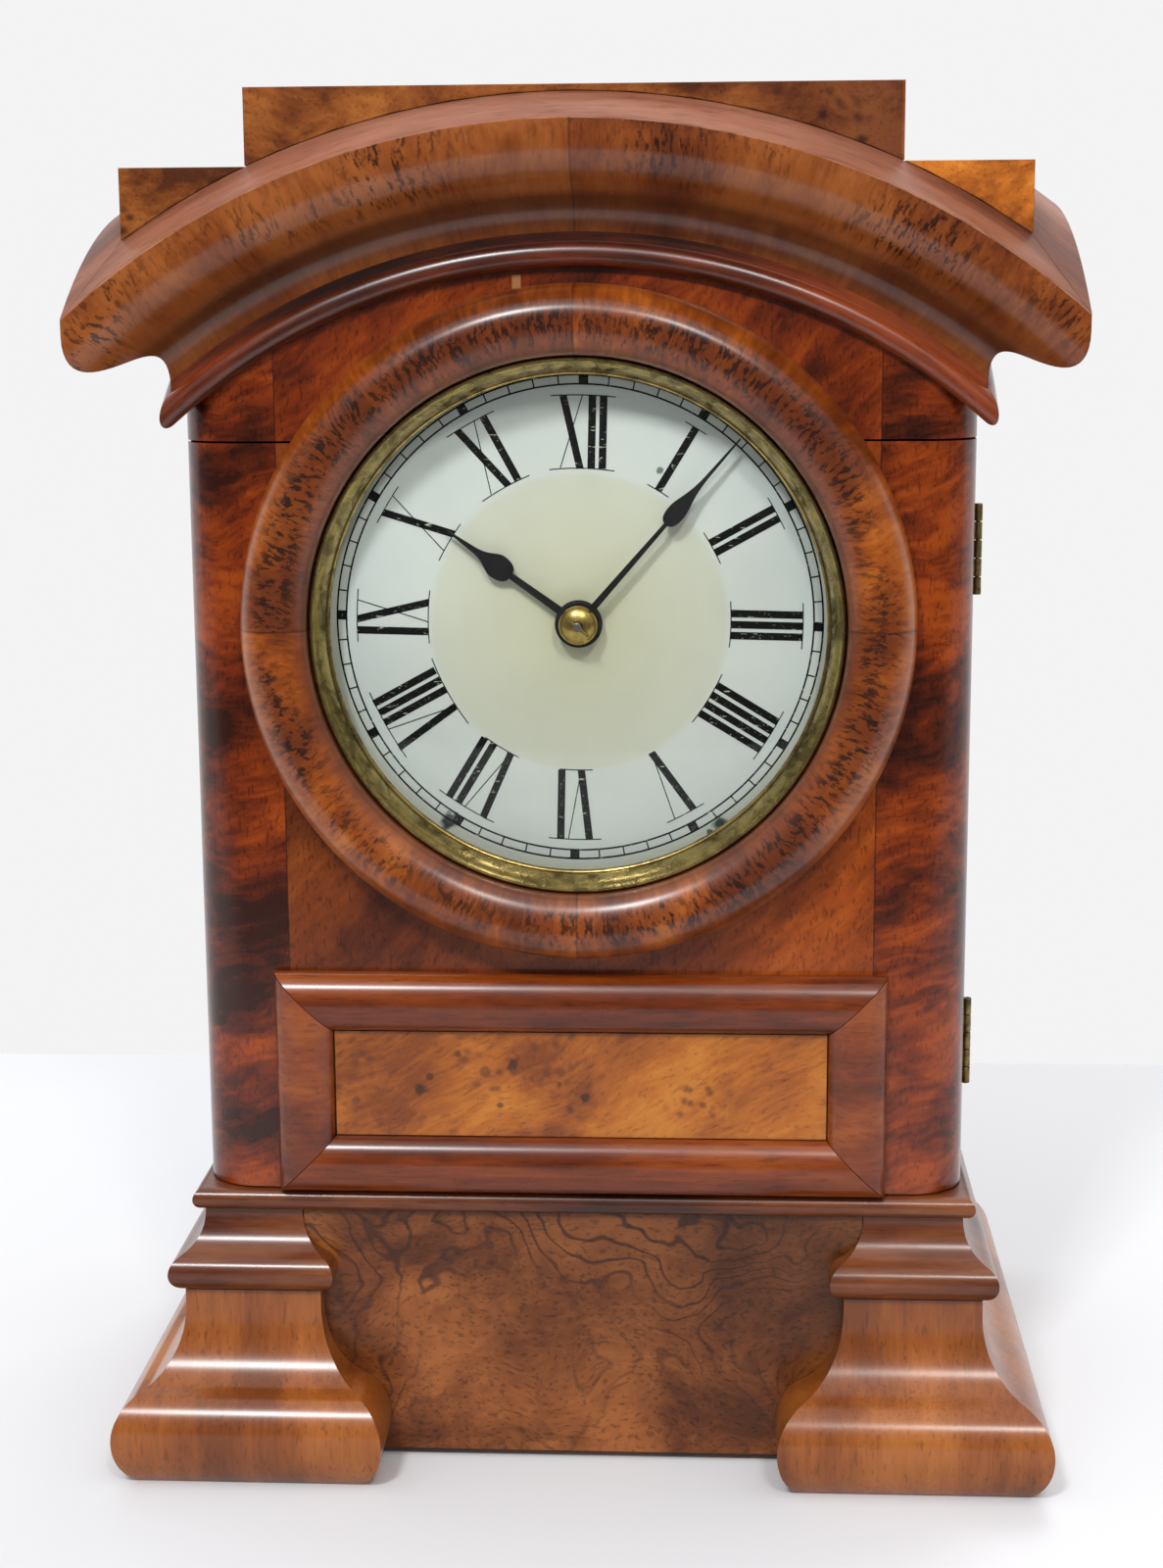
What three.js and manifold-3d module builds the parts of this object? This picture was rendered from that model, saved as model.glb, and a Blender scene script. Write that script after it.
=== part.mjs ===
// Bracket clock with an arched hood, a hinged front door that carries a turned ring, bezel and
// domed glass, ogee feet, and a rear-wound pendulum movement behind a painted dial.
// Millimetres. X to the right, Y to the back, Z up; the clock stands on Z = 0.
import * as THREE from 'three';
import { mergeVertices } from 'three/addons/utils/BufferGeometryUtils.js';
import Module from 'manifold-3d';

const wasm = await Module();
wasm.setup();

// ---------------------------------------------------------------- driving dimensions
const gap = 0.3;              // clearance between pieces that lie against each other
const mitreGap = 0.15;        // each side of a mitre

// case
const caseWidth = 225;
const caseDepth = 160;
const cornerRadius = 16;      // rounded upright corners of door and frieze
const sideThickness = 10;
const doorThickness = 18;
const doorBottomZ = 85.2;
const doorTopZ = 304.2;
const doorGap = 0.6;          // joint line round the door
const caseTopZ = 359.8;
const dialBoardThickness = 6;
const dialBoardTopZ = 345;
const dialBoardHoleRadius = 60;
const hingeLength = 26;
const hingeHeights = [272.6, 126.9]; // middles of the upper and lower front hinge
const knuckleRadius = 1.2;

// base
const footTopZ = 54.6;
const footInnerX = 82.8;      // inner side of the feet, before their flare
const capTopZ = 77.9;
const platformThickness = 6.5;
const platformNose = 3;       // overhang of the platform at front and sides
const apronThickness = 12;
const apronBottomZ = 2.5;
const runnerWidth = 30;       // width of a foot where it runs back along the side
const footFrontDepth = 20;    // depth of the full-width front block of a foot
const footNose = { v: 11.5, z: 14.2, reach: 13.6 }; // middle of the round nose, and its radius

// hood
const archCentreZ = 181;      // centre of the front arch
const beadRadius0 = 171.2;    // radius of the underside of the front bead
const beadHeight = 7;
const beadProjection = 4;
const hoodNose = 25.4;        // projection of the hood's top edge from the case
const arrisHeight = 38.3;     // radial height of that edge above the bead's underside
const bevelInset = 11.2;      // projection where the top bevel meets the crest blocks
const bevelHeight = 46;
const sideArchRise = 33;
const crestLowerTopZ = 379.2;
const crestUpperTopZ = 400.1;
const crestUpperHalf = 89;

// door ring, bezel, glass and panel
const dialCentreZ = 252.5;
const ringInnerRadius = 75.8;
const ringWidth = 19.6;
const ringCrestShare = 0.546; // where the ring's crest stands in its width
const ringHeight = 15;
const ringInnerHeight = 8.5;
const ringOuterHeight = 3;
const bezelWidth = 5;
const bezelFrontY = -8;
const bezelLipY = 0;
const bezelLipThickness = 0.8;
const bezelWall = 1.3;
const bezelBackY = 6;
const glassThickness = 1.5;
const glassRise = 8;
const doorHoleMargin = 1.7;   // from the ring's inner edge out to the hole in the door
const panelOuterHalf = 89;
const panelBelowRing = 5.7;   // from the ring's lowest point down to the panel's frame
const panelMouldingWidth = 17;
const panelMouldingHeight = 8;
const panelThickness = 2.5;

// dial and hands
const dialMargin = 1.3;       // from the dial's edge out to the ring's inner edge
const dialY = 8.5;
const dialThickness = 1.2;
const dialHoleRadius = 4.2;
const dialFootOffset = 40;
const minuteHandShare = 0.933; // length of each hand as a share of the dial's radius
const hourHandShare = 0.612;
const handThickness = 0.8;
const minuteHandY = 3.6;
const hourHandY = 5.6;
const minuteHandAngle = 41.2; // degrees clockwise from twelve
const hourHandAngle = 305.5;

// movement
const plateHalfWidth = 52;
const plateBottomZ = 190;
const plateTopZ = 312;
const plateThickness = 2;
const frontPlateY = 30;
const backPlateY = 72;
const pillarRadius = 4;
const seatThickness = 12;
const seatFrontY = 26;
const seatBackY = 76;
const seatHousing = 3;        // depth of the grooves in the sides that carry the seat board

// gearing: teeth and modules
const barrelTeeth = 48;
const intermediatePinionLeaves = 8;
const barrelModule = 1;
const intermediateTeeth = 48;
const centrePinionLeaves = 8;
const intermediateModule = 0.8;
const centreTeeth = 72;
const thirdPinionLeaves = 6;
const centreModule = 0.52;
const thirdTeeth = 60;
const escapePinionLeaves = 6;
const thirdModule = 0.5;
const escapeTeeth = 36;
const escapeRadius = 13;
const cannonLeaves = 8;
const minuteTeeth = 24;
const motionModule = 0.75;
const minutePinionLeaves = 6;
const hourTeeth = 24;

// pendulum
const pendulumY = 86;
const bobRadius = 20;
const bobThickness = 10;
const bobDrop = 174;          // from the swing axis to the middle of the bob
const rodRadius = 1.2;

// ---------------------------------------------------------------- worked-out values
const caseHalf = caseWidth / 2;
const sideInnerX = caseHalf - sideThickness;
const platformTopZ = capTopZ + gap + platformThickness;
const carcassFrontY = doorThickness + doorGap;
const crestHalf = caseHalf + bevelInset;
const sideArchMidY = caseDepth / 2;
const dial = new THREE.Vector3(0, 0, dialCentreZ);
const glassRimRadius = ringInnerRadius - gap - bezelWall - gap;
const glassRimY = bezelLipY + bezelLipThickness + 1;
const ringOuterRadius = ringInnerRadius + ringWidth;
const bezelOuterRadius = ringInnerRadius - gap;
const bezelInnerRadius = bezelOuterRadius - bezelWidth;
const dialRadius = ringInnerRadius - dialMargin;
const minuteHandLength = dialRadius * minuteHandShare;
const hourHandLength = dialRadius * hourHandShare;
const doorHoleRadius = ringInnerRadius + doorHoleMargin;
const panelTopZ = dialCentreZ - ringOuterRadius - panelBelowRing;

// ---------------------------------------------------------------- materials
function finish(color, roughness, metalness = 0, extra = {}) {
  return new THREE.MeshStandardMaterial({ color, roughness, metalness, ...extra });
}
const walnut = finish(0x6b2f16, 0.35);
const caseWood = finish(0x7a3517, 0.32);
const burrWood = finish(0xa8571c, 0.3);
const goldenBurr = finish(0xb9772c, 0.3);
const plainWood = finish(0x8a6a45, 0.7);
const brass = finish(0xb08d3e, 0.35, 0.9);
const steel = finish(0x8e9094, 0.35, 0.9);
const bluedSteel = finish(0x1c1d20, 0.4, 0.6);
const glassFinish = finish(0xe8efee, 0.05, 0, { transparent: true, opacity: 0.18 });
const dialPaint = finish(0xdfe0d2, 0.45);

// ---------------------------------------------------------------- helpers
function merged(geometry) {
  const plain = geometry.index ? geometry.toNonIndexed() : geometry.clone();
  for (const name of Object.keys(plain.attributes)) {
    if (name !== 'position') plain.deleteAttribute(name);
  }
  return mergeVertices(plain, 1e-4);
}

function toSolid(geometry) {
  const clean = merged(geometry);
  const mesh = new wasm.Mesh({
    numProp: 3,
    vertProperties: new Float32Array(clean.attributes.position.array),
    triVerts: new Uint32Array(clean.index.array),
  });
  mesh.merge();
  return new wasm.Manifold(mesh);
}

function toGeometry(solid) {
  const mesh = solid.getMesh();
  const geometry = new THREE.BufferGeometry();
  geometry.setAttribute('position', new THREE.BufferAttribute(mesh.vertProperties, 3));
  geometry.setIndex(new THREE.BufferAttribute(mesh.triVerts, 1));
  return geometry;
}

function cut(geometry, ...tools) {
  let solid = toSolid(geometry);
  for (const tool of tools) solid = solid.subtract(toSolid(tool));
  return toGeometry(solid);
}

function join(...geometries) {
  let solid = toSolid(geometries[0]);
  for (const other of geometries.slice(1)) solid = solid.add(toSolid(other));
  return toGeometry(solid);
}

function box(x0, x1, y0, y1, z0, z1) {
  const geometry = new THREE.BoxGeometry(x1 - x0, y1 - y0, z1 - z0);
  return geometry.translate((x0 + x1) / 2, (y0 + y1) / 2, (z0 + z1) / 2);
}

// a flat outline drawn in X and Z, standing between two depths
function slab(outline, y0, y1, curveSegments = 8) {
  const shape = outline instanceof THREE.Shape ? outline : new THREE.Shape(outline);
  const options = { depth: y1 - y0, bevelEnabled: false, curveSegments };
  return new THREE.ExtrudeGeometry(shape, options).rotateX(Math.PI / 2).translate(0, y1, 0);
}

// a flat outline drawn in X and Y, standing between two heights
function prism(outline, z0, z1, curveSegments = 6) {
  const options = { depth: z1 - z0, bevelEnabled: false, curveSegments };
  return new THREE.ExtrudeGeometry(outline, options).translate(0, 0, z0);
}

// a cylinder along Y
function rod(radius, y0, y1, segments = 10, x = 0, z = 0) {
  const geometry = new THREE.CylinderGeometry(radius, radius, y1 - y0, segments);
  return geometry.translate(x, (y0 + y1) / 2, z);
}

// a cylinder along Z
function post(radius, z0, z1, segments = 12, x = 0, y = 0) {
  const geometry = new THREE.CylinderGeometry(radius, radius, z1 - z0, segments);
  return geometry.rotateX(Math.PI / 2).translate(x, y, (z0 + z1) / 2);
}

// a turned form round the Y axis from [radius, y] points in order of rising y on the outside
function turned(points, segments) {
  return new THREE.LatheGeometry(points.map(([r, y]) => new THREE.Vector2(r, y)), segments);
}

function circleHole(radius, x = 0, z = 0) {
  const path = new THREE.Path();
  path.absarc(x, z, radius, 0, Math.PI * 2, true);
  return path;
}

function rectangle(x0, x1, z0, z1) {
  const shape = new THREE.Shape();
  shape.moveTo(x0, z0);
  shape.lineTo(x1, z0);
  shape.lineTo(x1, z1);
  shape.lineTo(x0, z1);
  shape.closePath();
  return shape;
}

// points along an ellipse arc, angles in degrees
function arcPoints(cx, cy, rx, ry, from, to, steps) {
  return Array.from({ length: steps + 1 }, (_, i) => {
    const angle = THREE.MathUtils.degToRad(from + ((to - from) * i) / steps);
    return [cx + rx * Math.cos(angle), cy + ry * Math.sin(angle)];
  });
}

function bezierPoints(a, b, c, d, steps) {
  const curve = new THREE.CubicBezierCurve(...[a, b, c, d].map((p) => new THREE.Vector2(...p)));
  return curve.getPoints(steps).map((p) => [p.x, p.y]);
}

// closed skin over rings of [x, y, z] points, with the first and last ring capped by the
// given triangles, which run the same way round as the ring
function skinGeometry(rings, capFaces) {
  const count = rings[0].length;
  const last = (rings.length - 1) * count;
  const faces = [];
  for (let a = 0; a < last; a++) {
    const b = (a + 1) % count === 0 ? a + 1 - count : a + 1;
    faces.push([a, b, b + count], [a, b + count, a + count]);
  }
  for (const [a, b, c] of capFaces) {
    faces.push([a, c, b], [last + a, last + b, last + c]);
  }
  const geometry = new THREE.BufferGeometry();
  geometry.setAttribute('position', new THREE.Float32BufferAttribute(rings.flat(2), 3));
  geometry.setIndex(faces.flat());
  const solid = toSolid(geometry);
  return solid.volume() < 0 ? flipped(geometry) : geometry;
}

// the same surface with its faces turned outwards
function oriented(geometry) {
  const clean = merged(geometry);
  return toSolid(clean).volume() < 0 ? flipped(clean) : clean;
}

function flipped(geometry) {
  const index = geometry.index.array;
  for (let i = 0; i < index.length; i += 3) {
    [index[i + 1], index[i + 2]] = [index[i + 2], index[i + 1]];
  }
  return geometry;
}

const model = new THREE.Group();
model.name = 'bracket_clock';

function add(name, geometry, material, position = [0, 0, 0]) {
  const mesh = new THREE.Mesh(geometry, material);
  mesh.name = name;
  mesh.position.set(...position);
  model.add(mesh);
  return mesh;
}

// ---------------------------------------------------------------- base
// half-profiles of the base as [projection, height] from the bottom up
function footProfile() {
  const { v, z, reach } = footNose;
  const lower = arcPoints(v, z, reach, 17, -56.6, 0, 4);
  const upper = arcPoints(v, z, reach, z, 0, 66, 4).slice(1);
  const sweep = bezierPoints([17, 27.2], [11.5, 29.7], [5.5, 37], [5.4, 50], 6).slice(1);
  return [...lower, ...upper, ...sweep, [5.4, footTopZ]];
}

function capProfile() {
  const nose = arcPoints(4.2, 60.3, 5.5, 5.5, -75, 60, 7);
  const sweep = bezierPoints([6.95, 65.06], [4.6, 66.4], [-0.3, 69], [-0.3, capTopZ], 6).slice(1);
  return [...nose, ...sweep];
}

function platformProfile() {
  const half = platformThickness / 2;
  return arcPoints(platformNose - half, capTopZ + gap + half, half, half, -90, 90, 6);
}

// stacked rectangles that flare by the profile's projection at the front and chosen sides
function flared(profile, outerX, innerX, innerFlare) {
  const rings = profile.map(([v, z]) => {
    const x0 = outerX - v;
    const x1 = innerX + v * innerFlare;
    return [[x0, -v, z], [x1, -v, z], [x1, caseDepth, z], [x0, caseDepth, z]];
  });
  return skinGeometry(rings, [[0, 1, 2], [0, 2, 3]]);
}

const apronFrontY = 0.5;
const runnerInnerX = caseHalf + footNose.v + footNose.reach - runnerWidth;

function baseBlock(profile) {
  const tall = profile[profile.length - 1][1] + 1;
  return cut(
    flared(profile, -caseHalf, -footInnerX, 1),
    box(-footInnerX - gap, 0, apronFrontY - gap, caseDepth + 1, -1, tall),
    box(-runnerInnerX, 0, footFrontDepth, caseDepth + 1, -1, tall),
  );
}

function mirroredX(geometry) {
  return flipped(merged(geometry).scale(-1, 1, 1));
}

const foot = baseBlock(footProfile());
add('foot_left', foot, walnut);
add('foot_right', mirroredX(foot), walnut);

const footCap = baseBlock(capProfile());
add('foot_cap_left', footCap, walnut);
add('foot_cap_right', mirroredX(footCap), walnut);

const apronBackY = apronFrontY + apronThickness;
add('apron', box(-footInnerX, footInnerX, apronFrontY, apronBackY, apronBottomZ, capTopZ), burrWood);

add('platform', flared(platformProfile(), -caseHalf, caseHalf, 1), walnut);

// ---------------------------------------------------------------- hinges
const hinge = {
  x: caseHalf + knuckleRadius + 0.05, y: doorThickness + doorGap / 2, radius: knuckleRadius,
  height: hingeLength, heights: hingeHeights,
};
const knuckleCount = 5;
const knuckleGap = 0.3;
const pinRadius = 0.6;
const pinBore = 0.85;
const leafLength = 8;
const leafThickness = 1.2;

// z spans of the knuckles that belong to one leaf: 0 for the fixed leaf, 1 for the moving one
function knuckleSpans(centreZ, parity) {
  const length = (hinge.height - knuckleGap * (knuckleCount - 1)) / knuckleCount;
  const start = centreZ - hinge.height / 2;
  return Array.from({ length: knuckleCount }, (_, i) => start + i * (length + knuckleGap))
    .map((z) => [z, z + length])
    .filter((_, i) => i % 2 === parity);
}

// one leaf with its knuckles; the plate and the tab to the knuckles are [x0, x1, y0, y1]
function hingeLeaf(centreZ, parity, plate, tab) {
  const z0 = centreZ - hinge.height / 2;
  const z1 = centreZ + hinge.height / 2;
  const pieces = [box(...plate, z0, z1)];
  for (const [a, b] of knuckleSpans(centreZ, parity)) {
    pieces.push(post(hinge.radius, a, b, 8, hinge.x, hinge.y), box(...tab, a, b));
  }
  if (parity === 0) {
    pieces.push(post(pinRadius, z0, z1, 6, hinge.x, hinge.y));
    return join(...pieces);
  }
  return cut(join(...pieces), post(pinBore, z0 - 1, z1 + 1, 8, hinge.x, hinge.y));
}

const leafEdgeX = hinge.x - hinge.radius - gap;
const leafX = [leafEdgeX - leafLength, leafEdgeX];
const tabX = [leafEdgeX - 1, hinge.x];
const knuckleReach = hinge.radius * 0.8;
const leafSpread = 0.2;
const fixedLeafY = [hinge.y + leafSpread, hinge.y + leafSpread + leafThickness];
const doorLeafY = [hinge.y - leafSpread - leafThickness, hinge.y - leafSpread];
const fixedTabY = [fixedLeafY[0], hinge.y + knuckleReach];
const doorTabY = [hinge.y - knuckleReach, doorLeafY[1]];
hinge.heights.forEach((z, i) => {
  const place = ['upper', 'lower'][i];
  const fixedLeaf = hingeLeaf(z, 0, [...leafX, ...fixedLeafY], [...tabX, ...fixedTabY]);
  const doorLeaf = hingeLeaf(z, 1, [...leafX, ...doorLeafY], [...tabX, ...doorTabY]);
  add(`${place}_hinge_case_leaf`, fixedLeaf, brass);
  add(`${place}_hinge_door_leaf`, doorLeaf, brass);
});

// recesses in the wood round a front hinge leaf
function mortises(y0, y1) {
  return hinge.heights.map((z) => box(
    leafX[0] - gap, caseHalf + 1, y0 - gap, y1 + gap,
    z - hinge.height / 2 - gap, z + hinge.height / 2 + gap,
  ));
}

// ---------------------------------------------------------------- case
const seatTopZ = plateBottomZ - gap;
const seatBottomZ = seatTopZ - seatThickness;
const seatHalf = sideInnerX + seatHousing - gap;
const sidePanel = cut(
  box(sideInnerX, caseHalf, carcassFrontY, caseDepth, platformTopZ + gap, caseTopZ),
  box(sideInnerX - 1, sideInnerX + seatHousing, seatFrontY - gap, seatBackY + gap,
    seatBottomZ - gap, seatTopZ + gap),
);
add('side_right', cut(sidePanel, ...mortises(...fixedLeafY)), caseWood);
add('side_left', mirroredX(sidePanel), caseWood);

// plan of a board with rounded upright front corners
function roundedPlan(half, depth, radius) {
  const shape = new THREE.Shape();
  shape.moveTo(-half, depth);
  shape.lineTo(-half, radius);
  shape.absarc(-half + radius, radius, radius, Math.PI, Math.PI * 1.5, false);
  shape.lineTo(half - radius, 0);
  shape.absarc(half - radius, radius, radius, Math.PI * 1.5, Math.PI * 2, false);
  shape.lineTo(half, depth);
  shape.closePath();
  return shape;
}

const frontPlan = roundedPlan(caseHalf, doorThickness, cornerRadius);
const dialOpening = rod(doorHoleRadius, -1, doorThickness + 1, 44, 0, dialCentreZ);
add('frieze', cut(prism(frontPlan, doorTopZ + doorGap, caseTopZ), dialOpening), caseWood);

const boardHalf = sideInnerX - gap;
const boardOutline = rectangle(-boardHalf, boardHalf, platformTopZ + gap, dialBoardTopZ);
boardOutline.holes.push(circleHole(dialBoardHoleRadius, 0, dialCentreZ));
const boardBackY = carcassFrontY + dialBoardThickness;
add('dial_board', slab(boardOutline, carcassFrontY, boardBackY, 10), plainWood);

const backRailThickness = 10;
const bottomRailHeight = 14;
const bottomRailTopZ = platformTopZ + bottomRailHeight;
const topRailBottomZ = 328;
const backPivotRadius = 1.5;
const backPivotLength = 5;
const backDoorThickness = 8;
const backDoorEdge = backDoorThickness / 2;
const backDoorX = boardHalf - gap - backDoorEdge;
const backDoorY = caseDepth - gap - backDoorEdge;

// the back door swings on two pins let into the rails, its edge rounded about them
function backPivots(radius, over) {
  return post(radius, bottomRailTopZ - over, topRailBottomZ + over, 10, backDoorX, backDoorY);
}

const backPivotBore = backPivots(backPivotRadius + gap, backPivotLength + gap);
function backRail(z0, z1) {
  const rail = box(-boardHalf, boardHalf, caseDepth - backRailThickness, caseDepth, z0, z1);
  return cut(rail, backPivotBore);
}
add('back_rail_bottom', backRail(platformTopZ + gap, bottomRailTopZ), plainWood);
add('back_rail_top', backRail(topRailBottomZ, caseTopZ), plainWood);

const backDoorZ = [bottomRailTopZ + doorGap, topRailBottomZ - doorGap];
const backDoorSpanY = [backDoorY - backDoorEdge, backDoorY + backDoorEdge];
add('back_door', join(
  box(gap - boardHalf, backDoorX, ...backDoorSpanY, ...backDoorZ),
  post(backDoorEdge, ...backDoorZ, 16, backDoorX, backDoorY),
  backPivots(backPivotRadius, backPivotLength),
), walnut);
const knobInset = 14.2;
const knobX = knobInset - boardHalf;
const knobZ = (bottomRailTopZ + topRailBottomZ) / 2;
const knobProfile = [
  [0, 0], [4.5, 0], [4.5, 1], [2.2, 2], [2.2, 3.8], [5, 5.2], [5.6, 6.6], [4.4, 8], [0, 8.4],
];
add('back_door_knob', oriented(turned(knobProfile, 12)), brass, [knobX, caseDepth, knobZ]);

// ---------------------------------------------------------------- hood
// Every line of the front moulding is an arc about one centre, and the side mouldings take the
// raked section that meets it on the mitre. A profile point is [projection, radial height].
const hoodSections = 16;
const sideSections = 8;

function mitreHeight([v, u], half = caseHalf) {
  return archCentreZ + Math.sqrt((beadRadius0 + u) ** 2 - (half + v) ** 2);
}

const sideArch = (() => {
  const halfChord = sideArchMidY + hoodNose;
  const radius = (halfChord ** 2 + sideArchRise ** 2) / (2 * sideArchRise);
  return { radius, centreZ: mitreHeight([hoodNose, arrisHeight]) + sideArchRise - radius };
})();

function capTriangles(profile) {
  const contour = profile.map(([v, u]) => new THREE.Vector2(v, u));
  return THREE.ShapeUtils.triangulateShape(contour, []);
}

function frontArch(profile, clearance = mitreGap) {
  const rings = Array.from({ length: hoodSections + 1 }, (_, i) => profile.map(([v, u]) => {
    const radius = beadRadius0 + u;
    const limit = Math.asin((caseHalf + v - clearance) / radius);
    const angle = limit * ((2 * i) / hoodSections - 1);
    return [radius * Math.sin(angle), -v, archCentreZ + radius * Math.cos(angle)];
  }));
  return skinGeometry(rings, capTriangles(profile));
}

function sideArchSolid(profile, clearance = mitreGap) {
  const rings = Array.from({ length: sideSections + 1 }, (_, i) => profile.map(([v, u]) => {
    const radius = Math.hypot(mitreHeight([v, u]) - sideArch.centreZ, sideArchMidY + v);
    const start = -Math.asin((sideArchMidY + v - clearance) / radius);
    const end = Math.asin((caseDepth - sideArchMidY) / radius);
    const angle = start + ((end - start) * i) / sideSections;
    return [
      caseHalf + v, sideArchMidY + radius * Math.sin(angle),
      sideArch.centreZ + radius * Math.cos(angle),
    ];
  }));
  return skinGeometry(rings, capTriangles(profile));
}

const beadStep = 1;
const hoodProfile = [
  [gap, 0],
  ...arcPoints(beadStep, beadHeight / 2, beadProjection - beadStep, beadHeight / 2, -90, 90, 5),
  ...bezierPoints([1.1, 9.5], [1.8, 16.5], [5, 18], [10.3, 19.7], 4),
  ...bezierPoints([10.3, 19.7], [15.5, 21.4], [hoodNose, 24.2], [hoodNose, 35], 4).slice(1),
  [hoodNose, arrisHeight],
  [bevelInset, bevelHeight],
  [gap, bevelHeight],
];
add('hood_moulding_front', frontArch(hoodProfile), burrWood);
const hoodSide = sideArchSolid(hoodProfile);
add('hood_moulding_right', hoodSide, burrWood);
add('hood_moulding_left', mirroredX(hoodSide), burrWood);

// what the crest blocks are scribed over: the mouldings and a clearance
const scribeTop = bevelHeight + gap;
const scribeProfile = [
  [0, 0], [bevelInset + 1, 0], [bevelInset + 1, scribeTop - 0.5], [bevelInset, scribeTop],
  [gap, scribeTop + 0.05], [0, scribeTop],
];
const scribeSide = sideArchSolid(scribeProfile, -mitreGap);
const scribe = [frontArch(scribeProfile, -mitreGap), scribeSide, mirroredX(scribeSide)];
add('crest_lower', cut(
  box(-crestHalf, crestHalf, -bevelInset, caseDepth, caseTopZ + gap, crestLowerTopZ), ...scribe,
), burrWood);
add('crest_upper', cut(
  box(-crestUpperHalf, crestUpperHalf, -bevelInset, caseDepth, crestLowerTopZ + gap, crestUpperTopZ),
  scribe[0],
), burrWood);

// ---------------------------------------------------------------- front door
const panelMouldingInner = panelOuterHalf - panelMouldingWidth;
const panelInnerTopZ = panelTopZ - panelMouldingWidth;
const panelInnerBottomZ = doorBottomZ + panelMouldingWidth;
add('door', cut(
  prism(frontPlan, doorBottomZ, doorTopZ), dialOpening, ...mortises(...doorLeafY),
), caseWood);

const ringCrestRadius = ringInnerRadius + ringWidth * ringCrestShare;
const ringProfile = [
  [ringInnerRadius, -gap],
  [ringOuterRadius, -gap],
  ...arcPoints(ringCrestRadius, -ringOuterHeight, ringOuterRadius - ringCrestRadius,
    ringOuterHeight - ringHeight, 0, 90, 4),
  ...arcPoints(ringCrestRadius, -ringInnerHeight, ringCrestRadius - ringInnerRadius,
    ringInnerHeight - ringHeight, 90, 180, 3).slice(1),
  [ringInnerRadius, -gap],
];
add('door_ring', oriented(turned(ringProfile, 44)), burrWood, dial.toArray());

const bezelProfile = [
  [bezelOuterRadius, bezelBackY],
  [bezelOuterRadius, bezelFrontY + 0.6],
  [bezelOuterRadius - 0.9, bezelFrontY],
  [bezelOuterRadius - 2.1, bezelFrontY + 1.6],
  [bezelInnerRadius + 1.6, bezelLipY - 3],
  [bezelInnerRadius, bezelLipY],
  [bezelInnerRadius, bezelLipY + bezelLipThickness],
  [bezelOuterRadius - bezelWall, bezelLipY + bezelLipThickness],
  [bezelOuterRadius - bezelWall, bezelBackY],
  [bezelOuterRadius, bezelBackY],
];
add('bezel', oriented(turned(bezelProfile, 36)), brass, dial.toArray());

function glassPoints(y) {
  const radius = (glassRimRadius ** 2 + glassRise ** 2) / (2 * glassRise);
  const steps = 3;
  return Array.from({ length: steps + 1 }, (_, i) => {
    const r = (glassRimRadius * i) / steps;
    const sag = Math.sqrt(radius ** 2 - r ** 2) - (radius - glassRise);
    return [r, y - sag];
  });
}
const glassProfile = [...glassPoints(glassRimY), ...glassPoints(glassRimY + glassThickness).reverse()];
add('glass', oriented(turned(glassProfile, 28)), glassFinish, dial.toArray());

// a mitred length of panel moulding along X, its outer edge on z = 0, rising inwards
const panelShoulder = gap + 2;
const panelSection = [
  [panelMouldingWidth, gap],
  ...arcPoints(panelMouldingWidth / 2, panelShoulder, panelMouldingWidth / 2,
    panelMouldingHeight - panelShoulder, 0, 180, 7),
  [0, gap],
];

function panelMoulding(outerLength) {
  const ends = [-1, 1].map((side) => panelSection.map(([inset, height]) => [
    side * (outerLength / 2 - inset - mitreGap), -height, inset,
  ]));
  return skinGeometry(ends, capTriangles(panelSection));
}

const panelHeight = panelTopZ - doorBottomZ;
const panelMidZ = (panelTopZ + doorBottomZ) / 2;
const frameLength = panelMoulding(panelOuterHalf * 2);
const frameHeight = panelMoulding(panelHeight);
function placedFrame(name, geometry, turn, x, z) {
  add(name, geometry, burrWood, [x, 0, z]).rotation.y = turn;
}
placedFrame('panel_frame_bottom', frameLength, 0, 0, doorBottomZ);
placedFrame('panel_frame_top', frameLength, Math.PI, 0, panelTopZ);
placedFrame('panel_frame_left', frameHeight, Math.PI / 2, -panelOuterHalf, panelMidZ);
placedFrame('panel_frame_right', frameHeight, -Math.PI / 2, panelOuterHalf, panelMidZ);
add('burr_panel', box(
  -panelMouldingInner + gap, panelMouldingInner - gap, -gap - panelThickness, -gap,
  panelInnerBottomZ + gap, panelInnerTopZ - gap,
), goldenBurr);

// ---------------------------------------------------------------- gears
// A tooth is [height above the pitch circle in modules, place in the pitch] from root to root.
const wheelTooth = [[-1.35, -0.26], [0.95, 0], [-1.35, 0.26]];
const pinionLeaf = [[-1.2, -0.24], [0.65, -0.07], [0.65, 0.07], [-1.2, 0.24]];

function pitchRadius(teeth, module) {
  return (teeth * module) / 2;
}

// angles of outlines run counter-clockwise as seen from the front
function gearShape(teeth, module, tooth, phase) {
  const pitch = (Math.PI * 2) / teeth;
  const points = Array.from({ length: teeth }, (_, i) => tooth.map(([height, place]) => {
    const radius = pitchRadius(teeth, module) + height * module;
    const angle = phase + pitch * (i + place);
    return new THREE.Vector2(radius * Math.cos(angle), radius * Math.sin(angle));
  }));
  return new THREE.Shape(points.flat());
}

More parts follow.
